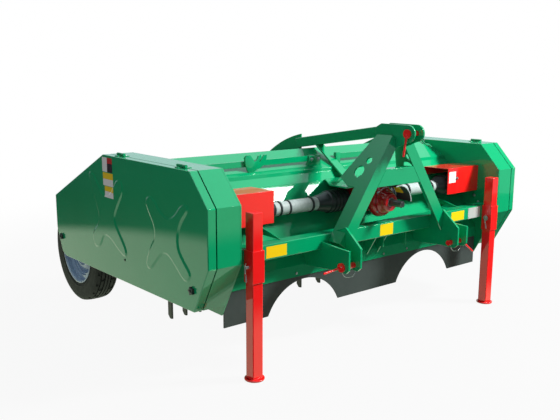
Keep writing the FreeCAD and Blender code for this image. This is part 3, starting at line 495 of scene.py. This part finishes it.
# %% Outlines of the lid
# each outline as (y, z) of the drawing
LID_OUTLINE = ((-4, 937), (-139, 794), (-139, 539), (-24, 329), (1350, 303), (1396, 322), (1459, 455),
               (1459, 647), (810, 937))
CROSSES = (
    ((398, 761), (320, 809), (218, 718), (140, 717), (52, 806), (-16, 780), (75, 693), (95, 600),
     (48, 548), (-25, 490), (37, 434), (125, 504), (205, 552), (284, 489), (344, 428), (396, 452),
     (356, 541), (276, 626)),
    ((1004, 827), (925, 850), (825, 735), (745, 735), (655, 850), (565, 796), (695, 644), (688, 600),
     (560, 480), (604, 428), (806, 543), (870, 440), (948, 431), (977, 508), (885, 577), (879, 631)),
)
LID_FACE = 1106.0
LID_DEPTH = 40.0
LID_SHEET = 2.5
PRESS_STEPS = ((1.0, 0.0), (2.2, 0.35), (2.4, 0.95), (2.4, 1.25), (2.4, 1.25), (2.4, 0.75), (2.2, 0.25))
print("lid outline of", len(LID_OUTLINE), "corners,", len(CROSSES), "crosses")

# %% Pressed lids with their hinge knuckles
HINGE_X = 1063.0
HINGE_Z = 945.0
HINGE_PLACES = (120.0, 690.0)       # along y
HINGE_HALF = 15.0
KNUCKLE = ((-HINGE_HALF, 4.4), (-HINGE_HALF, 7), (HINGE_HALF, 7), (HINGE_HALF, 4.4), (-HINGE_HALF, 4.4))
HINGE_LEAF_Z = (937.0, 940.5)
RIM_STRIP = 0.02        # the rounded rim and the press steps are cut finer than this


def softened(points, rounds=3, cut=0.25):
    """A closed outline with its corners cut again and again until they are round."""
    for _ in range(rounds):
        shorter = []
        for (y0, z0), (y1, z1) in zip(points, points[1:] + points[:1]):
            shorter.append((y0 + (y1 - y0) * cut, z0 + (z1 - z0) * cut))
            shorter.append((y1 - (y1 - y0) * cut, z1 - (z1 - z0) * cut))
        points = tuple(shorter)
    return points


def closed_loop(bm, points, x):
    ring = [bm.verts.new(at(x, y, z)) for y, z in points]
    return ring, [bm.edges.new(pair) for pair in zip(ring, ring[1:] + ring[:1])]


def pressed_sheet(side):
    """The flat of the lid with its crosses; also the corners and edges where the rim folds."""
    bm = bmesh.new()
    rim, fold = closed_loop(bm, LID_OUTLINE, side * LID_FACE)
    rings, edges = [], list(fold)
    for cross in CROSSES:
        ring, more = closed_loop(bm, softened(cross), side * LID_FACE)
        rings.append(ring)
        edges += more
    bmesh.ops.triangle_fill(bm, use_beauty=True, edges=edges)
    crowns = [bm.faces.new(ring) for ring in rings]
    bm.normal_update()
    for face in bm.faces:
        if face.normal.x * side < 0:
            face.normal_flip()
    for crown in crowns:
        for inward, outward in PRESS_STEPS:
            bmesh.ops.inset_region(bm, faces=[crown], thickness=inward / 1000.0, depth=outward / 1000.0,
                                   use_even_offset=True, use_boundary=True)
    return bm, rim, fold


def pressed_lid(word, side):
    bm, rim, fold = pressed_sheet(side)
    made = bmesh.ops.extrude_edge_only(bm, edges=fold)["geom"]
    inner = [part for part in made if isinstance(part, bmesh.types.BMVert)]
    bmesh.ops.translate(bm, verts=inner, vec=(-side * LID_DEPTH / 1000.0, 0, 0))
    corners = [edge for vert in rim for edge in vert.link_edges if edge.other_vert(vert) in inner]
    bmesh.ops.recalc_face_normals(bm, faces=bm.faces)
    if max(bm.faces, key=lambda face: face.calc_area()).normal.x * side < 0:
        bmesh.ops.reverse_faces(bm, faces=bm.faces)
    bevelled(bm, fold + corners, 0.004, 3)
    bmesh.ops.solidify(bm, geom=bm.faces[:], thickness=LID_SHEET / 1000.0)
    for face in bm.faces:
        face.smooth = len(face.verts) == 4 and breadth(face) < RIM_STRIP
    for y in HINGE_PLACES:
        lathe(bm, KNUCKLE, at(side * HINGE_X, y, HINGE_Z), Y, 24)
        near, far = sorted((side * (HINGE_X + 2), side * (HINGE_X + 27)))
        block(bm, (near, y - HINGE_HALF, HINGE_LEAF_Z[0]), (far, y + HINGE_HALF, HINGE_LEAF_Z[1]), 0.6)
    return finished("pressed_lid_" + word, bm, GREEN, "lid_" + word,
                    ("lid_" + word,))


lids = {}
for word, side in SIDES:
    lids[word] = pressed_lid(word, side)
    reach = max(abs(vert.co.x) for vert in lids[word].data.vertices)
    print(lids[word].name, len(lids[word].data.polygons), "faces, out to", round(reach, 4), "m")

# %% [markdown]
# ## Star knobs and labels
# A star knob is moulded plastic with five lobes for the fingers. The lobes come from one wave round a
# circle, extruded and rounded. The labels are thin vinyl that follows the pressed sheet: a fine grid is
# dropped onto the lid along X and then given its thickness. They stay blank, in the colours of warning
# labels.

# %% Star knobs and plugs
KNOB_PLACES = ((-14.0, 425.0), (1390.0, 411.0))     # y, z
KNOB_POINTS = 60
KNOB_LOBES = 5
KNOB_RADIUS, KNOB_WAVE = 16.4, 2.4
KNOB_HIGH = 0.0125
KNOB_CAP = ((12, 0), (12, 8), (14.5, 7.5), (15.6, 6), (15.6, 0))
PLUG = ((0, 0), (0, 7), (2, 6.5), (3, 4), (3, 0))


def star_knob(bm, middle, side):
    outline = []
    for k in range(KNOB_POINTS):
        turn = math.tau * k / KNOB_POINTS
        radius = (KNOB_RADIUS + KNOB_WAVE * math.cos(KNOB_LOBES * turn)) / 1000.0
        outline.append(middle + Vector((0, radius * math.cos(turn), radius * math.sin(turn))))
    part = bmesh.new()
    cut_plate(part, outline, X * (side * KNOB_HIGH))
    bevelled(part, sharp_edges(part, 60.0), 0.002, 3)
    join(bm, part)
    lathe(bm, KNOB_CAP, middle, X * side, 32)


for word, side in SIDES:
    bm = bmesh.new()
    for y, z in KNOB_PLACES:
        star_knob(bm, at(side * LID_FACE, y, z), side)
    finished("star_knobs_" + word, bm, BLACK_PLASTIC, "lid_" + word,
             ("lid_knobs_" + word,), 40)
    bm = bmesh.new()
    lathe(bm, PLUG, at(side * (LID_FACE + 0.1), 604, 432), X * side, 24)
    finished("lid_plug_" + word, bm, BLACK_PLASTIC, "lid_" + word, smooth_angle=40)
print("star knobs", len(KNOB_PLACES) * len(SIDES))

# %% Labels on the left lid
# columns: name, y from, y to, z from, z to, finish
LID_LABELS = (
    ("label_a_white", 762, 816, 852, 925, WHITE), ("label_a_red", 706, 762, 896, 925, STICKER_RED),
    ("label_a_dark", 706, 762, 852, 896, STICKER_DARK), ("label_b_yellow", 702, 812, 816, 848, YELLOW),
    ("label_b_white", 702, 812, 782, 816, WHITE), ("label_c_yellow", 694, 796, 754, 780, YELLOW),
    ("label_c_white", 694, 796, 724, 754, WHITE),
)
LABEL_MESH = 5.0        # millimetres
LABEL_LIFT = X * 0.0002
LABEL_THICK = X * 0.0003
lid = lids["left"].data
lid_tree = BVHTree.FromPolygons([vert.co for vert in lid.vertices],
                                [face.vertices for face in lid.polygons])
for name, y0, y1, z0, z1, finish in LID_LABELS:
    bm = bmesh.new()
    bmesh.ops.create_grid(bm, x_segments=math.ceil((y1 - y0) / LABEL_MESH),
                          y_segments=math.ceil((z1 - z0) / LABEL_MESH), size=1.0)
    for vert in bm.verts:
        across, up = (1 + vert.co.x) / 2, (1 + vert.co.y) / 2
        start = at(-LID_FACE - 50, y0 + (y1 - y0) * across, z0 + (z1 - z0) * up)
        hit = lid_tree.ray_cast(start, X)[0]
        vert.co = hit - LABEL_LIFT
    raised(bm, bm.faces[:], -LABEL_THICK)
    finished(name, bm, finish, "lid_left", smooth_angle=30)
print("labels", len(LID_LABELS))

# %% Plates and labels on the frame
PALE = enamel("plate_pale", linear(196, 202, 196), linear(160, 168, 164))
# columns: name, lowest corner, highest corner, finish
PLATES = (
    ("beam_label_left", (-777, -106.5, 531), (-659, -105.8, 584), YELLOW),
    ("beam_label_middle", (-40, -106.5, 529), (57, -105.8, 588), YELLOW),
    ("beam_label_right", (545, -106.5, 530), (662, -105.8, 582), YELLOW),
    ("type_plate", (700, -107.2, 526), (812, -105.8, 588), PALE),
    ("shield_label", (655, 4.4, 724), (719, 5.2, 789), WHITE),
)
for name, low, high, finish in PLATES:
    bm = bmesh.new()
    block(bm, low, high)
    finished(name, bm, finish)
RIVET = ((0, 0), (0, 3), (-1.2, 2.2), (-1.6, 0))
bm = bmesh.new()
for x in (706, 806):
    for z in (532, 582):
        lathe(bm, RIVET, at(x, -107.1, z), Y, 16)
finished("type_plate_rivets", bm, ZINC, smooth_angle=40)
print("plates", len(PLATES))

# %% [markdown]
# ## Wheels
# The machine follows the ground on two narrow road tyres. A tyre is moulded, so its section is one curve
# from bead to bead with the grooves already in it. The cross cuts of the tread are insets in the
# shoulder. The rim's lip, its dish and the nuts are separate, as they are on a real steel wheel.

# %% Tyres with a tread
WHEEL_MID = 945.5
WHEEL_Y = 1425.6
WHEEL_Z = 302.0
# half of the tyre's outside, as offset from the middle and radius
TYRE_FLANK = ((61.4, 190), (62.5, 194), (66, 206), (67.6, 211), (68.6, 212), (68.8, 217), (68.2, 219),
              (70, 232), (70.4, 248), (70.0, 262), (69.4, 266), (70.0, 268), (69.2, 274), (66.5, 284),
              (62, 291.5), (56, 297), (47, 299.4), (46, 294), (40, 294), (39, 300.4), (24, 301.6),
              (23, 295), (16, 295), (15, 302), (4, 302), (3, 296.5))
TYRE_INSIDE = ((54, 191), (60, 215), (61, 255), (54, 284), (0, 288))
TREAD_STEPS = 96
# bands of the tread in metres: offset from, offset to, smallest radius
SHOULDER_BLOCKS = (0.046, 0.0625, 0.29)
RIB_BLOCKS = (0.024, 0.0395, 0.298)
GROOVE_MARGIN, GROOVE_DEPTH = 0.0009, 0.004


def wheel_middle(side):
    return at(side * WHEEL_MID, WHEEL_Y, WHEEL_Z)


def tyre_section():
    outside = list(TYRE_FLANK) + [(-offset, radius) for offset, radius in TYRE_FLANK[::-1]]
    inside = [(-offset, radius) for offset, radius in TYRE_INSIDE] + list(TYRE_INSIDE[-2::-1])
    return outside + inside + outside[:1]


def in_band(spot, band):
    start, end, lowest = band
    return start < abs(spot.x) < end and math.hypot(spot.y, spot.z) > lowest


def road_tyre(word, side):
    bm = bmesh.new()
    middle = wheel_middle(side)
    lathe(bm, tyre_section(), middle, X, TREAD_STEPS)
    grooves = []
    for face in bm.faces:
        spot = face.calc_center_median() - middle
        step = round(math.atan2(spot.z, spot.y) / math.tau * TREAD_STEPS - 0.5) % 4
        if (step == 0 and in_band(spot, SHOULDER_BLOCKS)) or (step == 2 and in_band(spot, RIB_BLOCKS)):
            grooves.append(face)
    bmesh.ops.recalc_face_normals(bm, faces=bm.faces)
    bmesh.ops.inset_individual(bm, faces=grooves, thickness=GROOVE_MARGIN, depth=-GROOVE_DEPTH)
    return finished("road_tyre_" + word, bm, TYRE_RUBBER, "wheel_" + word,
                    ("tyre_" + word,), 32)


for word, side in SIDES:
    piece = road_tyre(word, side)
    print(piece.name, len(piece.data.polygons), "faces")

# %% Wheel lips, dishes and nuts
RIM_LIP = ((58, 182), (64.5, 184), (67.5, 187), (67.8, 191), (66.6, 194), (64.4, 193.4), (64.2, 189),
           (61, 186.5), (58, 186), (58, 182))
WHEEL_DISH = ((13.5, 46), (16, 66), (24, 76), (33, 86), (35, 98), (31, 112), (18, 128), (12.5, 139.5),
              (12.1, 139.5), (15, 127), (27, 111), (31, 98), (29, 87), (20, 78), (12.5, 68), (12.1, 46))
HUB_CAP = ((44, 0), (44, 41), (50, 39), (56, 31), (58, 18), (58, 0))
WHEEL_NUTS = 5
NUT_RING = 0.056
NUT_SEAT = 0.015
for word, side in SIDES:
    outward = X * side
    middle = wheel_middle(side)
    bm = bmesh.new()
    for way in (1, -1):
        lathe(bm, RIM_LIP, middle, outward * way, 96)
    lathe(bm, WHEEL_DISH, middle, outward, 96)
    finished("wheel_dish_" + word, bm, RIM_PAINT, "wheel_" + word, smooth_angle=35)
    bm = bmesh.new()
    for k in range(WHEEL_NUTS):
        turn = math.tau * (k + 0.25) / WHEEL_NUTS
        ring = Vector((side * NUT_SEAT, NUT_RING * math.cos(turn), NUT_RING * math.sin(turn)))
        bolt(bm, middle + ring, outward, 13.0, 9.5)
    lathe(bm, HUB_CAP, middle, outward, 48)
    finished("wheel_nuts_" + word, bm, ZINC, "wheel_" + word, smooth_angle=40)
print("wheel nuts", WHEEL_NUTS * len(SIDES))

# %% [markdown]
# ## The drive
# The shaft to each side turns inside a plastic guard: a grey tube between ribbed black bells. Each is a
# section on the lathe. The stub for the tractor's shaft is a splined outline that is extruded, and part
# of a cup keeps hands away from it. The gearbox casting has a round cover that narrows towards the stub,
# ribs and a plug.

# %% Guards of the side shafts
SHAFT_Y, SHAFT_Z = 80.0, 704.0
# sections as distance from the middle of the machine and radius
BELL = ((120, 50), (126, 58), (148, 58), (150, 54), (158, 54), (160, 58.5), (172, 58.5), (174, 54),
        (182, 54), (184, 58.5), (196, 58.5), (198, 54), (206, 54), (208, 58), (220, 58), (222, 53),
        (230, 53), (232, 56.5), (246, 56.5), (252, 50), (268, 49), (300, 40.5), (308, 40.5), (318, 37),
        (322, 35), (322, 0))
OUTER_BELL = ((596, 0), (596, 35.5), (604, 37), (612, 37), (640, 50), (654, 55), (660, 58), (676, 58),
              (678, 53), (688, 53), (690, 58), (706, 58), (708, 53), (718, 53), (720, 57), (736, 57),
              (738, 52), (748, 52), (750, 56), (768, 56), (771, 40), (799, 40))
TUBE = ((318, 34), (598, 34))
TUBE_RINGS = ((360, 40), (505, 37.5), (562, 38))
shafts = at(0, SHAFT_Y, SHAFT_Z)
for word, side in SIDES:
    outward = X * side
    bm = bmesh.new()
    lathe(bm, BELL, shafts, outward, 48)
    lathe(bm, OUTER_BELL, shafts, outward, 48)
    for along, radius in TUBE_RINGS:
        ring = ((along - 5, 33.8), (along - 4, radius), (along + 4, radius), (along + 5, 33.8))
        lathe(bm, ring, shafts, outward, 40)
    replaced = ("side_shafts",) if word == "left" else ()
    finished("guard_bells_" + word, bm, BLACK_PLASTIC, "frame", replaced, 32)
    bm = bmesh.new()
    lathe(bm, TUBE, shafts, outward, 48)
    finished("guard_tube_" + word, bm, GREY_PLASTIC, smooth_angle=40)
print("guards from", BELL[0][0], "to", OUTER_BELL[-1][0], "mm")

# %% Splined stub
SPLINES = 6
SPLINE_POINTS = 10      # of one tooth and one gap
TOOTH_RADIUS, GAP_RADIUS = 0.0173, 0.0146
STUB_FRONT = -214.0
STUB_LENGTH = 0.074
COLLAR = ((-140, 0), (-140, 22), (-138, 24), (-91, 24), (-91, 0))
STUB_TIP = ((-215, 0), (-215, 7), (-213.5, 7.6))
stub_axis = at(0, 0, SHAFT_Z)
outline = []
for k in range(SPLINES * SPLINE_POINTS):
    turn = math.tau * k / (SPLINES * SPLINE_POINTS)
    radius = TOOTH_RADIUS if k % SPLINE_POINTS < SPLINE_POINTS // 2 else GAP_RADIUS
    outline.append(at(0, STUB_FRONT, SHAFT_Z)
                   + Vector((radius * math.cos(turn), 0, radius * math.sin(turn))))
bm = bmesh.new()
cut_plate(bm, outline, Y * STUB_LENGTH)
just_behind = at(0, STUB_FRONT + 0.1, 0).y
front = [edge for edge in bm.edges if all(vert.co.y < just_behind for vert in edge.verts)]
bevelled(bm, front, 0.0012, 1)
lathe(bm, COLLAR, stub_axis, Y, 32)
lathe(bm, STUB_TIP, stub_axis, Y, 24)
finished("splined_stub", bm, STEEL, "input", ("input_shaft",), 30)
print("splines", SPLINES)

# %% Cup round the stub
# angles are counted from the top of the cup towards the right side of the machine
CUP_FROM, CUP_SPAN = math.radians(-16.0), math.radians(104.0)
LINING_FROM, LINING_SPAN = math.radians(30.0), math.radians(32.0)
CUP = ((-98, 89), (-98, 92), (-188, 92), (-190, 90.5), (-188, 89), (-98, 89))
CUP_LINING = ((-99, 88.6), (-148, 88.6), (-148, 87.6), (-99, 87.6), (-99, 88.6))
# the grey ring over the cup's black front edge is a painted highlight along its rim
CUP_RIM_HIGHLIGHT = ((-188, 89), (-188, 93), (-191, 93), (-191, 89), (-188, 89))
bm = bmesh.new()
lathe(bm, CUP, stub_axis, Y, 36, CUP_SPAN, CUP_FROM)
finished("cup_guard", bm, BLACK_PLASTIC, "frame", ("pto_shield",), 32)
bm = bmesh.new()
lathe(bm, CUP_LINING, stub_axis, Y, 12, LINING_SPAN, LINING_FROM)
finished("cup_lining", bm, YELLOW, smooth_angle=32)
bm = bmesh.new()
# the painted highlight: a grey ring on the cup's front edge
lathe(bm, CUP_RIM_HIGHLIGHT, stub_axis, Y, 36, CUP_SPAN, CUP_FROM)
finished("cup_rim_highlight", bm, GREY_PLASTIC, smooth_angle=32)
print("cup", round(math.degrees(CUP_SPAN)), "degrees")

# %% Gearbox cover, ribs and plug
# a lighter copy of the casting's dark red for the cover and its ribs: painted light, since the cover's
# boss is lit while the body of the same casting is shaded
CASTING_RED_LIT = enamel("casting_red_lit_copy", linear(196, 20, 28), linear(150, 10, 20), peel=0.0005)
COVER = ((-58, 0), (-58, 82), (-66, 84), (-84, 78), (-94, 64), (-102, 55), (-126, 50), (-135, 47),
         (-140, 42), (-140, 27), (-138, 24))
COVER_BOLTS = 4
COVER_BOLT_RING = 0.067
COVER_BOLT_SEAT = -0.088
GEARBOX_PLUG = ((0, 9), (12, 9), (14, 7), (14, 0))
bm = bmesh.new()
lathe(bm, COVER, stub_axis, Y, 48)
for x in (-84, 78):
    block(bm, (x, 2, 642), (x + 6, 158, 774), 2.0)
for z in (640, 762):
    block(bm, (-112, 10, z), (112, 150, z + 8), 2.0)
finished("gearbox_cover", bm, CASTING_RED_LIT, smooth_angle=40)
bm = bmesh.new()
for k in range(COVER_BOLTS):
    turn = math.tau * (k + 0.5) / COVER_BOLTS
    ring = Vector((COVER_BOLT_RING * math.cos(turn), COVER_BOLT_SEAT, COVER_BOLT_RING * math.sin(turn)))
    bolt(bm, stub_axis + ring, -Y, 7.0, 6.0)
lathe(bm, GEARBOX_PLUG, at(-60, 60, 770), Z, 20)
finished("gearbox_bolts", bm, ZINC, smooth_angle=35)
print("cover bolts", COVER_BOLTS)

# %% [markdown]
# ## Pins, clips and small brackets
# Everything the driver couples or moves is held by a pin, and every pin by a spring clip, often on a
# short chain so it can't be lost. The clips are bent wire. The links of a chain are rings turned by a
# quarter each.

# %% Clips on the hitch pins
LINK_HALF_LONG, LINK_HALF_WIDE, LINK_WIRE = 6.2, 3.4, 1.8
LINK_CORNERS = 8
LOWER_PIN_X = 402.7
PIN_REACH = 46.0
CLIP_WIRE = 3.6
RING_CLIP = ((-2, 10.5), (0, 12), (2, 10.5), (0, 9), (-2, 10.5))


def chain(bm, start, end, links, sag):
    """Links between two places of the drawing, hanging a little."""
    start, end = Vector(start), Vector(end)
    way = (end - start).normalized()
    for k in range(links):
        share = (k + 0.5) / links
        spot = start.lerp(end, share) - Z * (sag * math.sin(math.pi * share))
        across = way.cross(Y if k % 2 else Z).normalized()
        loop = []
        for corner in range(LINK_CORNERS + 1):
            turn = math.tau * corner / LINK_CORNERS
            place = (spot + way * (LINK_HALF_LONG * math.cos(turn))
                     + across * (LINK_HALF_WIDE * math.sin(turn)))
            loop.append(tuple(place))
        wire(bm, loop, LINK_WIRE)


bm = bmesh.new()
# a wire bow under each lower pin, and a ring clip through its end
for word, side in SIDES:
    near, far = side * LOWER_PIN_X - PIN_REACH, side * LOWER_PIN_X + PIN_REACH
    wire(bm, ((near + 2, -246, 456), (near + 4, -249, 436), (near + 20, -252, 414), (far - 20, -252, 410),
              (far - 3, -249, 428), (far + 4, -247, 448), (far + 3, -246, 468)), CLIP_WIRE)
    lathe(bm, RING_CLIP, at(far + 5, -246.5, 464), Y, 24)
# the bow of the top pin
wire(bm, ((40, -261, 1050), (52, -258, 1030), (66, -256, 1012), (84, -254, 1004), (96, -252, 1012),
          (100, -252, 1026)), CLIP_WIRE)
finished("hitch_clips", bm, ZINC, smooth_angle=50)

bm = bmesh.new()
chain(bm, (-LOWER_PIN_X - 54, -252, 470), (-LOWER_PIN_X - 20, -262, 500), 5, 8.0)
finished("hitch_chain", bm, ZINC, smooth_angle=50)

# a bent handle of green rod on the right-hand end of the top pin
bm = bmesh.new()
wire(bm, ((58, -262, 1040), (72, -262, 1016), (96, -262, 1000), (128, -262, 998), (140, -262, 986)), 9.0)
finished("top_pin_catch", bm, GREEN, smooth_angle=50)
print("hitch clips", len(SIDES) + 1)

# %% Pins of the parking stands
STAND_X = 868.0
STAND_PIN_Y, STAND_PIN_Z = -137.0, 520.0
STAND_PIN = ((-47, 0), (-47, 6), (-45, 7), (45, 7), (47, 6), (47, 0))
PIN_COLLAR = ((-38, 7), (-38, 15), (-35, 15), (-35, 7))
for word, side in SIDES:
    x = side * STAND_X
    middle = at(x, STAND_PIN_Y, STAND_PIN_Z)
    bm = bmesh.new()
    lathe(bm, STAND_PIN, middle, X, 24)
    lathe(bm, PIN_COLLAR, middle, X * side, 24)
    finished("stand_pin_" + word, bm, ZINC, smooth_angle=40)
    bm = bmesh.new()
    end = x - 53.0
    wire(bm, ((end, -137, 532), (end - 1, -140, 508), (end - 3, -146, 494), (end - 5, -152, 500),
              (end - 5, -153, 514), (end - 4, -147, 524), (end - 5, -152, 536), (end - 5, -154, 546)), 3.4)
    chain(bm, (end - 2, -150, 492), (end - 6, -158, 466), 4, 2.0)
    finished("stand_clip_" + word, bm, ZINC, smooth_angle=50)
print("stand pins", len(SIDES))

# %% Bolts of the sheets and the side plates
SKIRT_BOLTS = (-511, -203, 106, 294, 512, 740, -760)        # along x
SIDE_PLATE_X = 935.0
SIDE_PLATE_BOLTS = ((13, 675), (24, 624), (-8, 586), (150, 675), (160, 630))        # y, z
LOW_ROW_Y, LOW_ROW_Z = (440, 520, 600), 560
bm = bmesh.new()
for x in SKIRT_BOLTS:
    bolt(bm, at(x, -3.9, 394), -Y, 4.6, 5.0)
bolt(bm, at(730, 5, 749), -Y, 7.5, 8.0)
for y, z in SIDE_PLATE_BOLTS:
    bolt(bm, at(SIDE_PLATE_X, y, z), -X, 8.0, 8.5)
    bolt(bm, at(-SIDE_PLATE_X, y, z), X, 8.0, 8.5)
for word, side in SIDES:
    for y in LOW_ROW_Y:
        bolt(bm, at(side * SIDE_PLATE_X, y, LOW_ROW_Z), -X * side, 8.0, 8.5)
finished("frame_bolts", bm, ZINC, smooth_angle=35)
print("frame bolts", len(SKIRT_BOLTS) + 1 + 2 * (len(SIDE_PLATE_BOLTS) + len(LOW_ROW_Y)))

# %% Bracket under the beam and clamps on the rail
bm = bmesh.new()
block(bm, (38, -44, 512), (258, -38, 523), 0.8)
block(bm, (38, -60, 452), (44, -38, 514), 0.8)
block(bm, (214, -60, 440), (220, -38, 514), 0.8)
finished("beam_bracket", bm, GREEN, smooth_angle=35)
bm = bmesh.new()
block(bm, (-178, 288, 838), (-94, 304, 914), 2.5)
block(bm, (20, 290, 850), (55, 302, 920), 2.0)
finished("rail_clamp", bm, GREEN, smooth_angle=35)
bm = bmesh.new()
for x in (-160, -112):
    bolt(bm, at(x, 288, 894), -Y, 8.0, 8.0)
finished("rail_bolts", bm, ZINC, smooth_angle=35)
print("bracket and clamps done")

# %% Hook for the tractor's shaft
# the outline of its plate, as (x, z)
HOOK_PLATE = ((-604, 930), (-596, 944), (-572, 944), (-556, 926), (-544, 908), (-528, 922), (-520, 938),
              (-506, 943), (-500, 930), (-512, 912), (-516, 884), (-534, 866), (-552, 856), (-578, 852),
              (-590, 870), (-600, 896))
HOOK_Y = 291.0
HOOK_THICK = 0.008
bm = bmesh.new()
cut_plate(bm, [at(x, HOOK_Y, z) for x, z in HOOK_PLATE], Y * -HOOK_THICK)
bevelled(bm, sharp_edges(bm, 50.0), 0.0012, 2)
finished("hook_plate", bm, GREEN, smooth_angle=35)
print("hook of", len(HOOK_PLATE), "corners")

# %% [markdown]
# ## Camera
# The camera stands left of the machine and a little above it, where the lens sees the side lid, the hitch
# and the hood together. Its direction is built from a turn, a tilt and a slight roll.

# %% Camera
CAMERA_PLACE = Vector((-2.6166, -3.15175, 1.3159))
CAMERA_TURN, CAMERA_TILT, CAMERA_ROLL = (math.radians(a) for a in (39.4, 10.76, 0.27))
SENSOR = 36.0
FOCAL_SHARE = 691.8 / 560.0     # focal length as a share of the picture's width
forward = Vector((math.sin(CAMERA_TURN) * math.cos(CAMERA_TILT),
                  math.cos(CAMERA_TURN) * math.cos(CAMERA_TILT), -math.sin(CAMERA_TILT)))
level = Vector((math.cos(CAMERA_TURN), -math.sin(CAMERA_TURN), 0.0))
upright = level.cross(forward)
right = level * math.cos(CAMERA_ROLL) + upright * math.sin(CAMERA_ROLL)
up = upright * math.cos(CAMERA_ROLL) - level * math.sin(CAMERA_ROLL)
camera_data = bpy.data.cameras.new("camera")
camera_data.lens = FOCAL_SHARE * SENSOR
camera_data.sensor_width = SENSOR
camera = bpy.data.objects.new("camera", camera_data)
turned = Matrix((right, up, -forward)).transposed().to_4x4()
camera.matrix_world = Matrix.Translation(CAMERA_PLACE) @ turned
bpy.context.scene.collection.objects.link(camera)
bpy.context.scene.camera = camera
print("lens", round(camera_data.lens, 2), "mm")

# %% [markdown]
# ## Floor, light and background
# A lamp stands in front, high and to the right, so the hood and the beam are bright and the side lid
# stays in half shade. The floor is pale and keeps a soft shadow. What the glossy paint mirrors matters as
# much as the lamps: it sees the pale floor near the machine, a bright sky, and a darker room to the left.
# Only mirrored rays see that room; to the eye the background is white.

# %% Floor
FLOOR_R = 5.5
FLOOR_LIGHT, FLOOR_DARK = (0.26, 0.26, 0.26, 1), (0.23, 0.23, 0.23, 1)
PLAIN_LIGHT = (1, 1, 1, 1)
# the part of the floor that the paint mirrors: its middle, its radius, half of its soft edge, its tint
MIRRORED_MIDDLE = (-0.3, 0.9)
MIRRORED_R = 2.45
MIRRORED_EDGE = 0.25
MIRRORED_TINT = (0.86, 1.0, 0.74, 1)


def distance_on(finish, middle):
    """How far a point of the floor lies from a middle, in metres."""
    aside = finish.along(0) - middle[0]
    ahead = finish.along(1) - middle[1]
    return (aside * aside + ahead * ahead) ** 0.5


def pale_floor():
    """White to the eye and whiter with distance; mirrored only near the machine and far in front."""
    finish = Finish("floor_pale")
    finish.feed("Base Color", finish.blend(finish.noise(0.8), FLOOR_LIGHT, FLOOR_DARK))
    finish.feed("Roughness", 0.85 + finish.noise(2.0) * 0.1)
    far = distance_on(finish, (0.0, 0.0))
    seen = finish.ray("Is Camera Ray") * (0.93 + 0.07 * finish.span(far, 1.6, 4.4))
    away = distance_on(finish, MIRRORED_MIDDLE)
    near = 1.0 - finish.span(away, MIRRORED_R - MIRRORED_EDGE, MIRRORED_R + MIRRORED_EDGE)
    in_front = finish.span(0.0 - finish.along(1), 2.9, 3.6)
    mirrored = finish.ray("Is Glossy Ray")
    glow = finish.field("ShaderNodeEmission", None, {
        "Color": finish.blend(mirrored, PLAIN_LIGHT, MIRRORED_TINT),
        "Strength": 1.0 + mirrored * (near * 0.95 + in_front * 0.6 - 0.97)})
    mixed = finish.field("ShaderNodeMixShader", None, {0: seen + mirrored, 1: finish.surface, 2: glow})
    finish.tree.links.new(mixed.socket, finish.output.inputs[0])
    return finish.material


bm = bmesh.new()
bmesh.ops.create_circle(bm, cap_ends=True, radius=FLOOR_R, segments=96)
mesh = bpy.data.meshes.new("floor")
bm.to_mesh(mesh)
bm.free()
mesh.materials.append(pale_floor())
floor = bpy.data.objects.new("floor", mesh)
bpy.context.scene.collection.objects.link(floor)
print("floor", 2 * FLOOR_R, "m wide")

# %% Lamps
def soft_lamp(name, place, target, width, height, power, along=(0.0, 0.0, 1.0), mirrored=True):
    """A rectangular lamp; its width lies along the given direction."""
    lamp = bpy.data.lights.new(name, "AREA")
    lamp.shape = "RECTANGLE"
    lamp.size, lamp.size_y = width, height
    lamp.energy = power
    holder = bpy.data.objects.new(name, lamp)
    out = (Vector(place) - Vector(target)).normalized()
    wide = (Vector(along) - out * out.dot(Vector(along))).normalized()
    axes = Matrix((wide, out.cross(wide), out)).transposed().to_4x4()
    holder.matrix_world = Matrix.Translation(place) @ axes
    holder.visible_glossy = mirrored
    bpy.context.scene.collection.objects.link(holder)
    return holder


STRIP_TARGET = (-0.3, -0.52, 0.76)      # the sheets round this place mirror the strip lamp
lamps = (
    soft_lamp("key_lamp", (3.6, -3.6, 4.4), (-0.2, -0.5, 0.6), 1.1, 1.1, 660.0, mirrored=False),
    soft_lamp("strip_lamp", (3.555, -3.57, 4.16), STRIP_TARGET, 1.7, 0.46, 75.0, (0.92, 0.21, -0.34)),
    soft_lamp("top_lamp", (0.5, 2.2, 5.0), (0.0, 0.0, 0.5), 3.0, 2.0, 25.0),
)
print("lamps", [lamp.name for lamp in lamps])

# %% World
SKY_TINT = (0.76, 0.95, 1.0, 1)
world = bpy.data.worlds.new("studio")
world.use_nodes = True
bpy.context.scene.world = world
room = Wiring(world.node_tree, "Generated")
sideways, backwards, upwards = (room.along(axis) for axis in range(3))
# what the paint mirrors: a sky overhead, a pale horizon in front and behind, a dark room elsewhere
sky = room.span(upwards, 0.5, 0.75, 0.0, 1.15)
behind = room.span(sideways + backwards, 0.6, 1.1, 0.04, 0.75)
ahead = room.span(backwards, -0.6, -0.3, 0.5, 0.0) * room.span(upwards, 0.15, 0.35, 1.0, 0.0)
mirrored_room = room.maths("MAXIMUM", room.maths("MAXIMUM", sky, behind), ahead)
# what lights the machine from all round is stronger on its left
ambient = room.span(sideways, -0.7, 0.1, 0.52, 0.10)
mirrored = room.ray("Is Glossy Ray")
seen = room.maths("MAXIMUM", room.ray("Is Camera Ray"), room.ray("Is Transmission Ray"))
background = room.field("ShaderNodeBackground", None, {
    "Color": room.blend(mirrored, PLAIN_LIGHT, SKY_TINT),
    "Strength": room.level(seen, room.level(mirrored, ambient, mirrored_room), 1.0)})
room.node("ShaderNodeOutputWorld", None, {0: background})
bpy.context.scene.view_settings.view_transform = "Standard"
print("world", len(world.node_tree.nodes), "nodes")
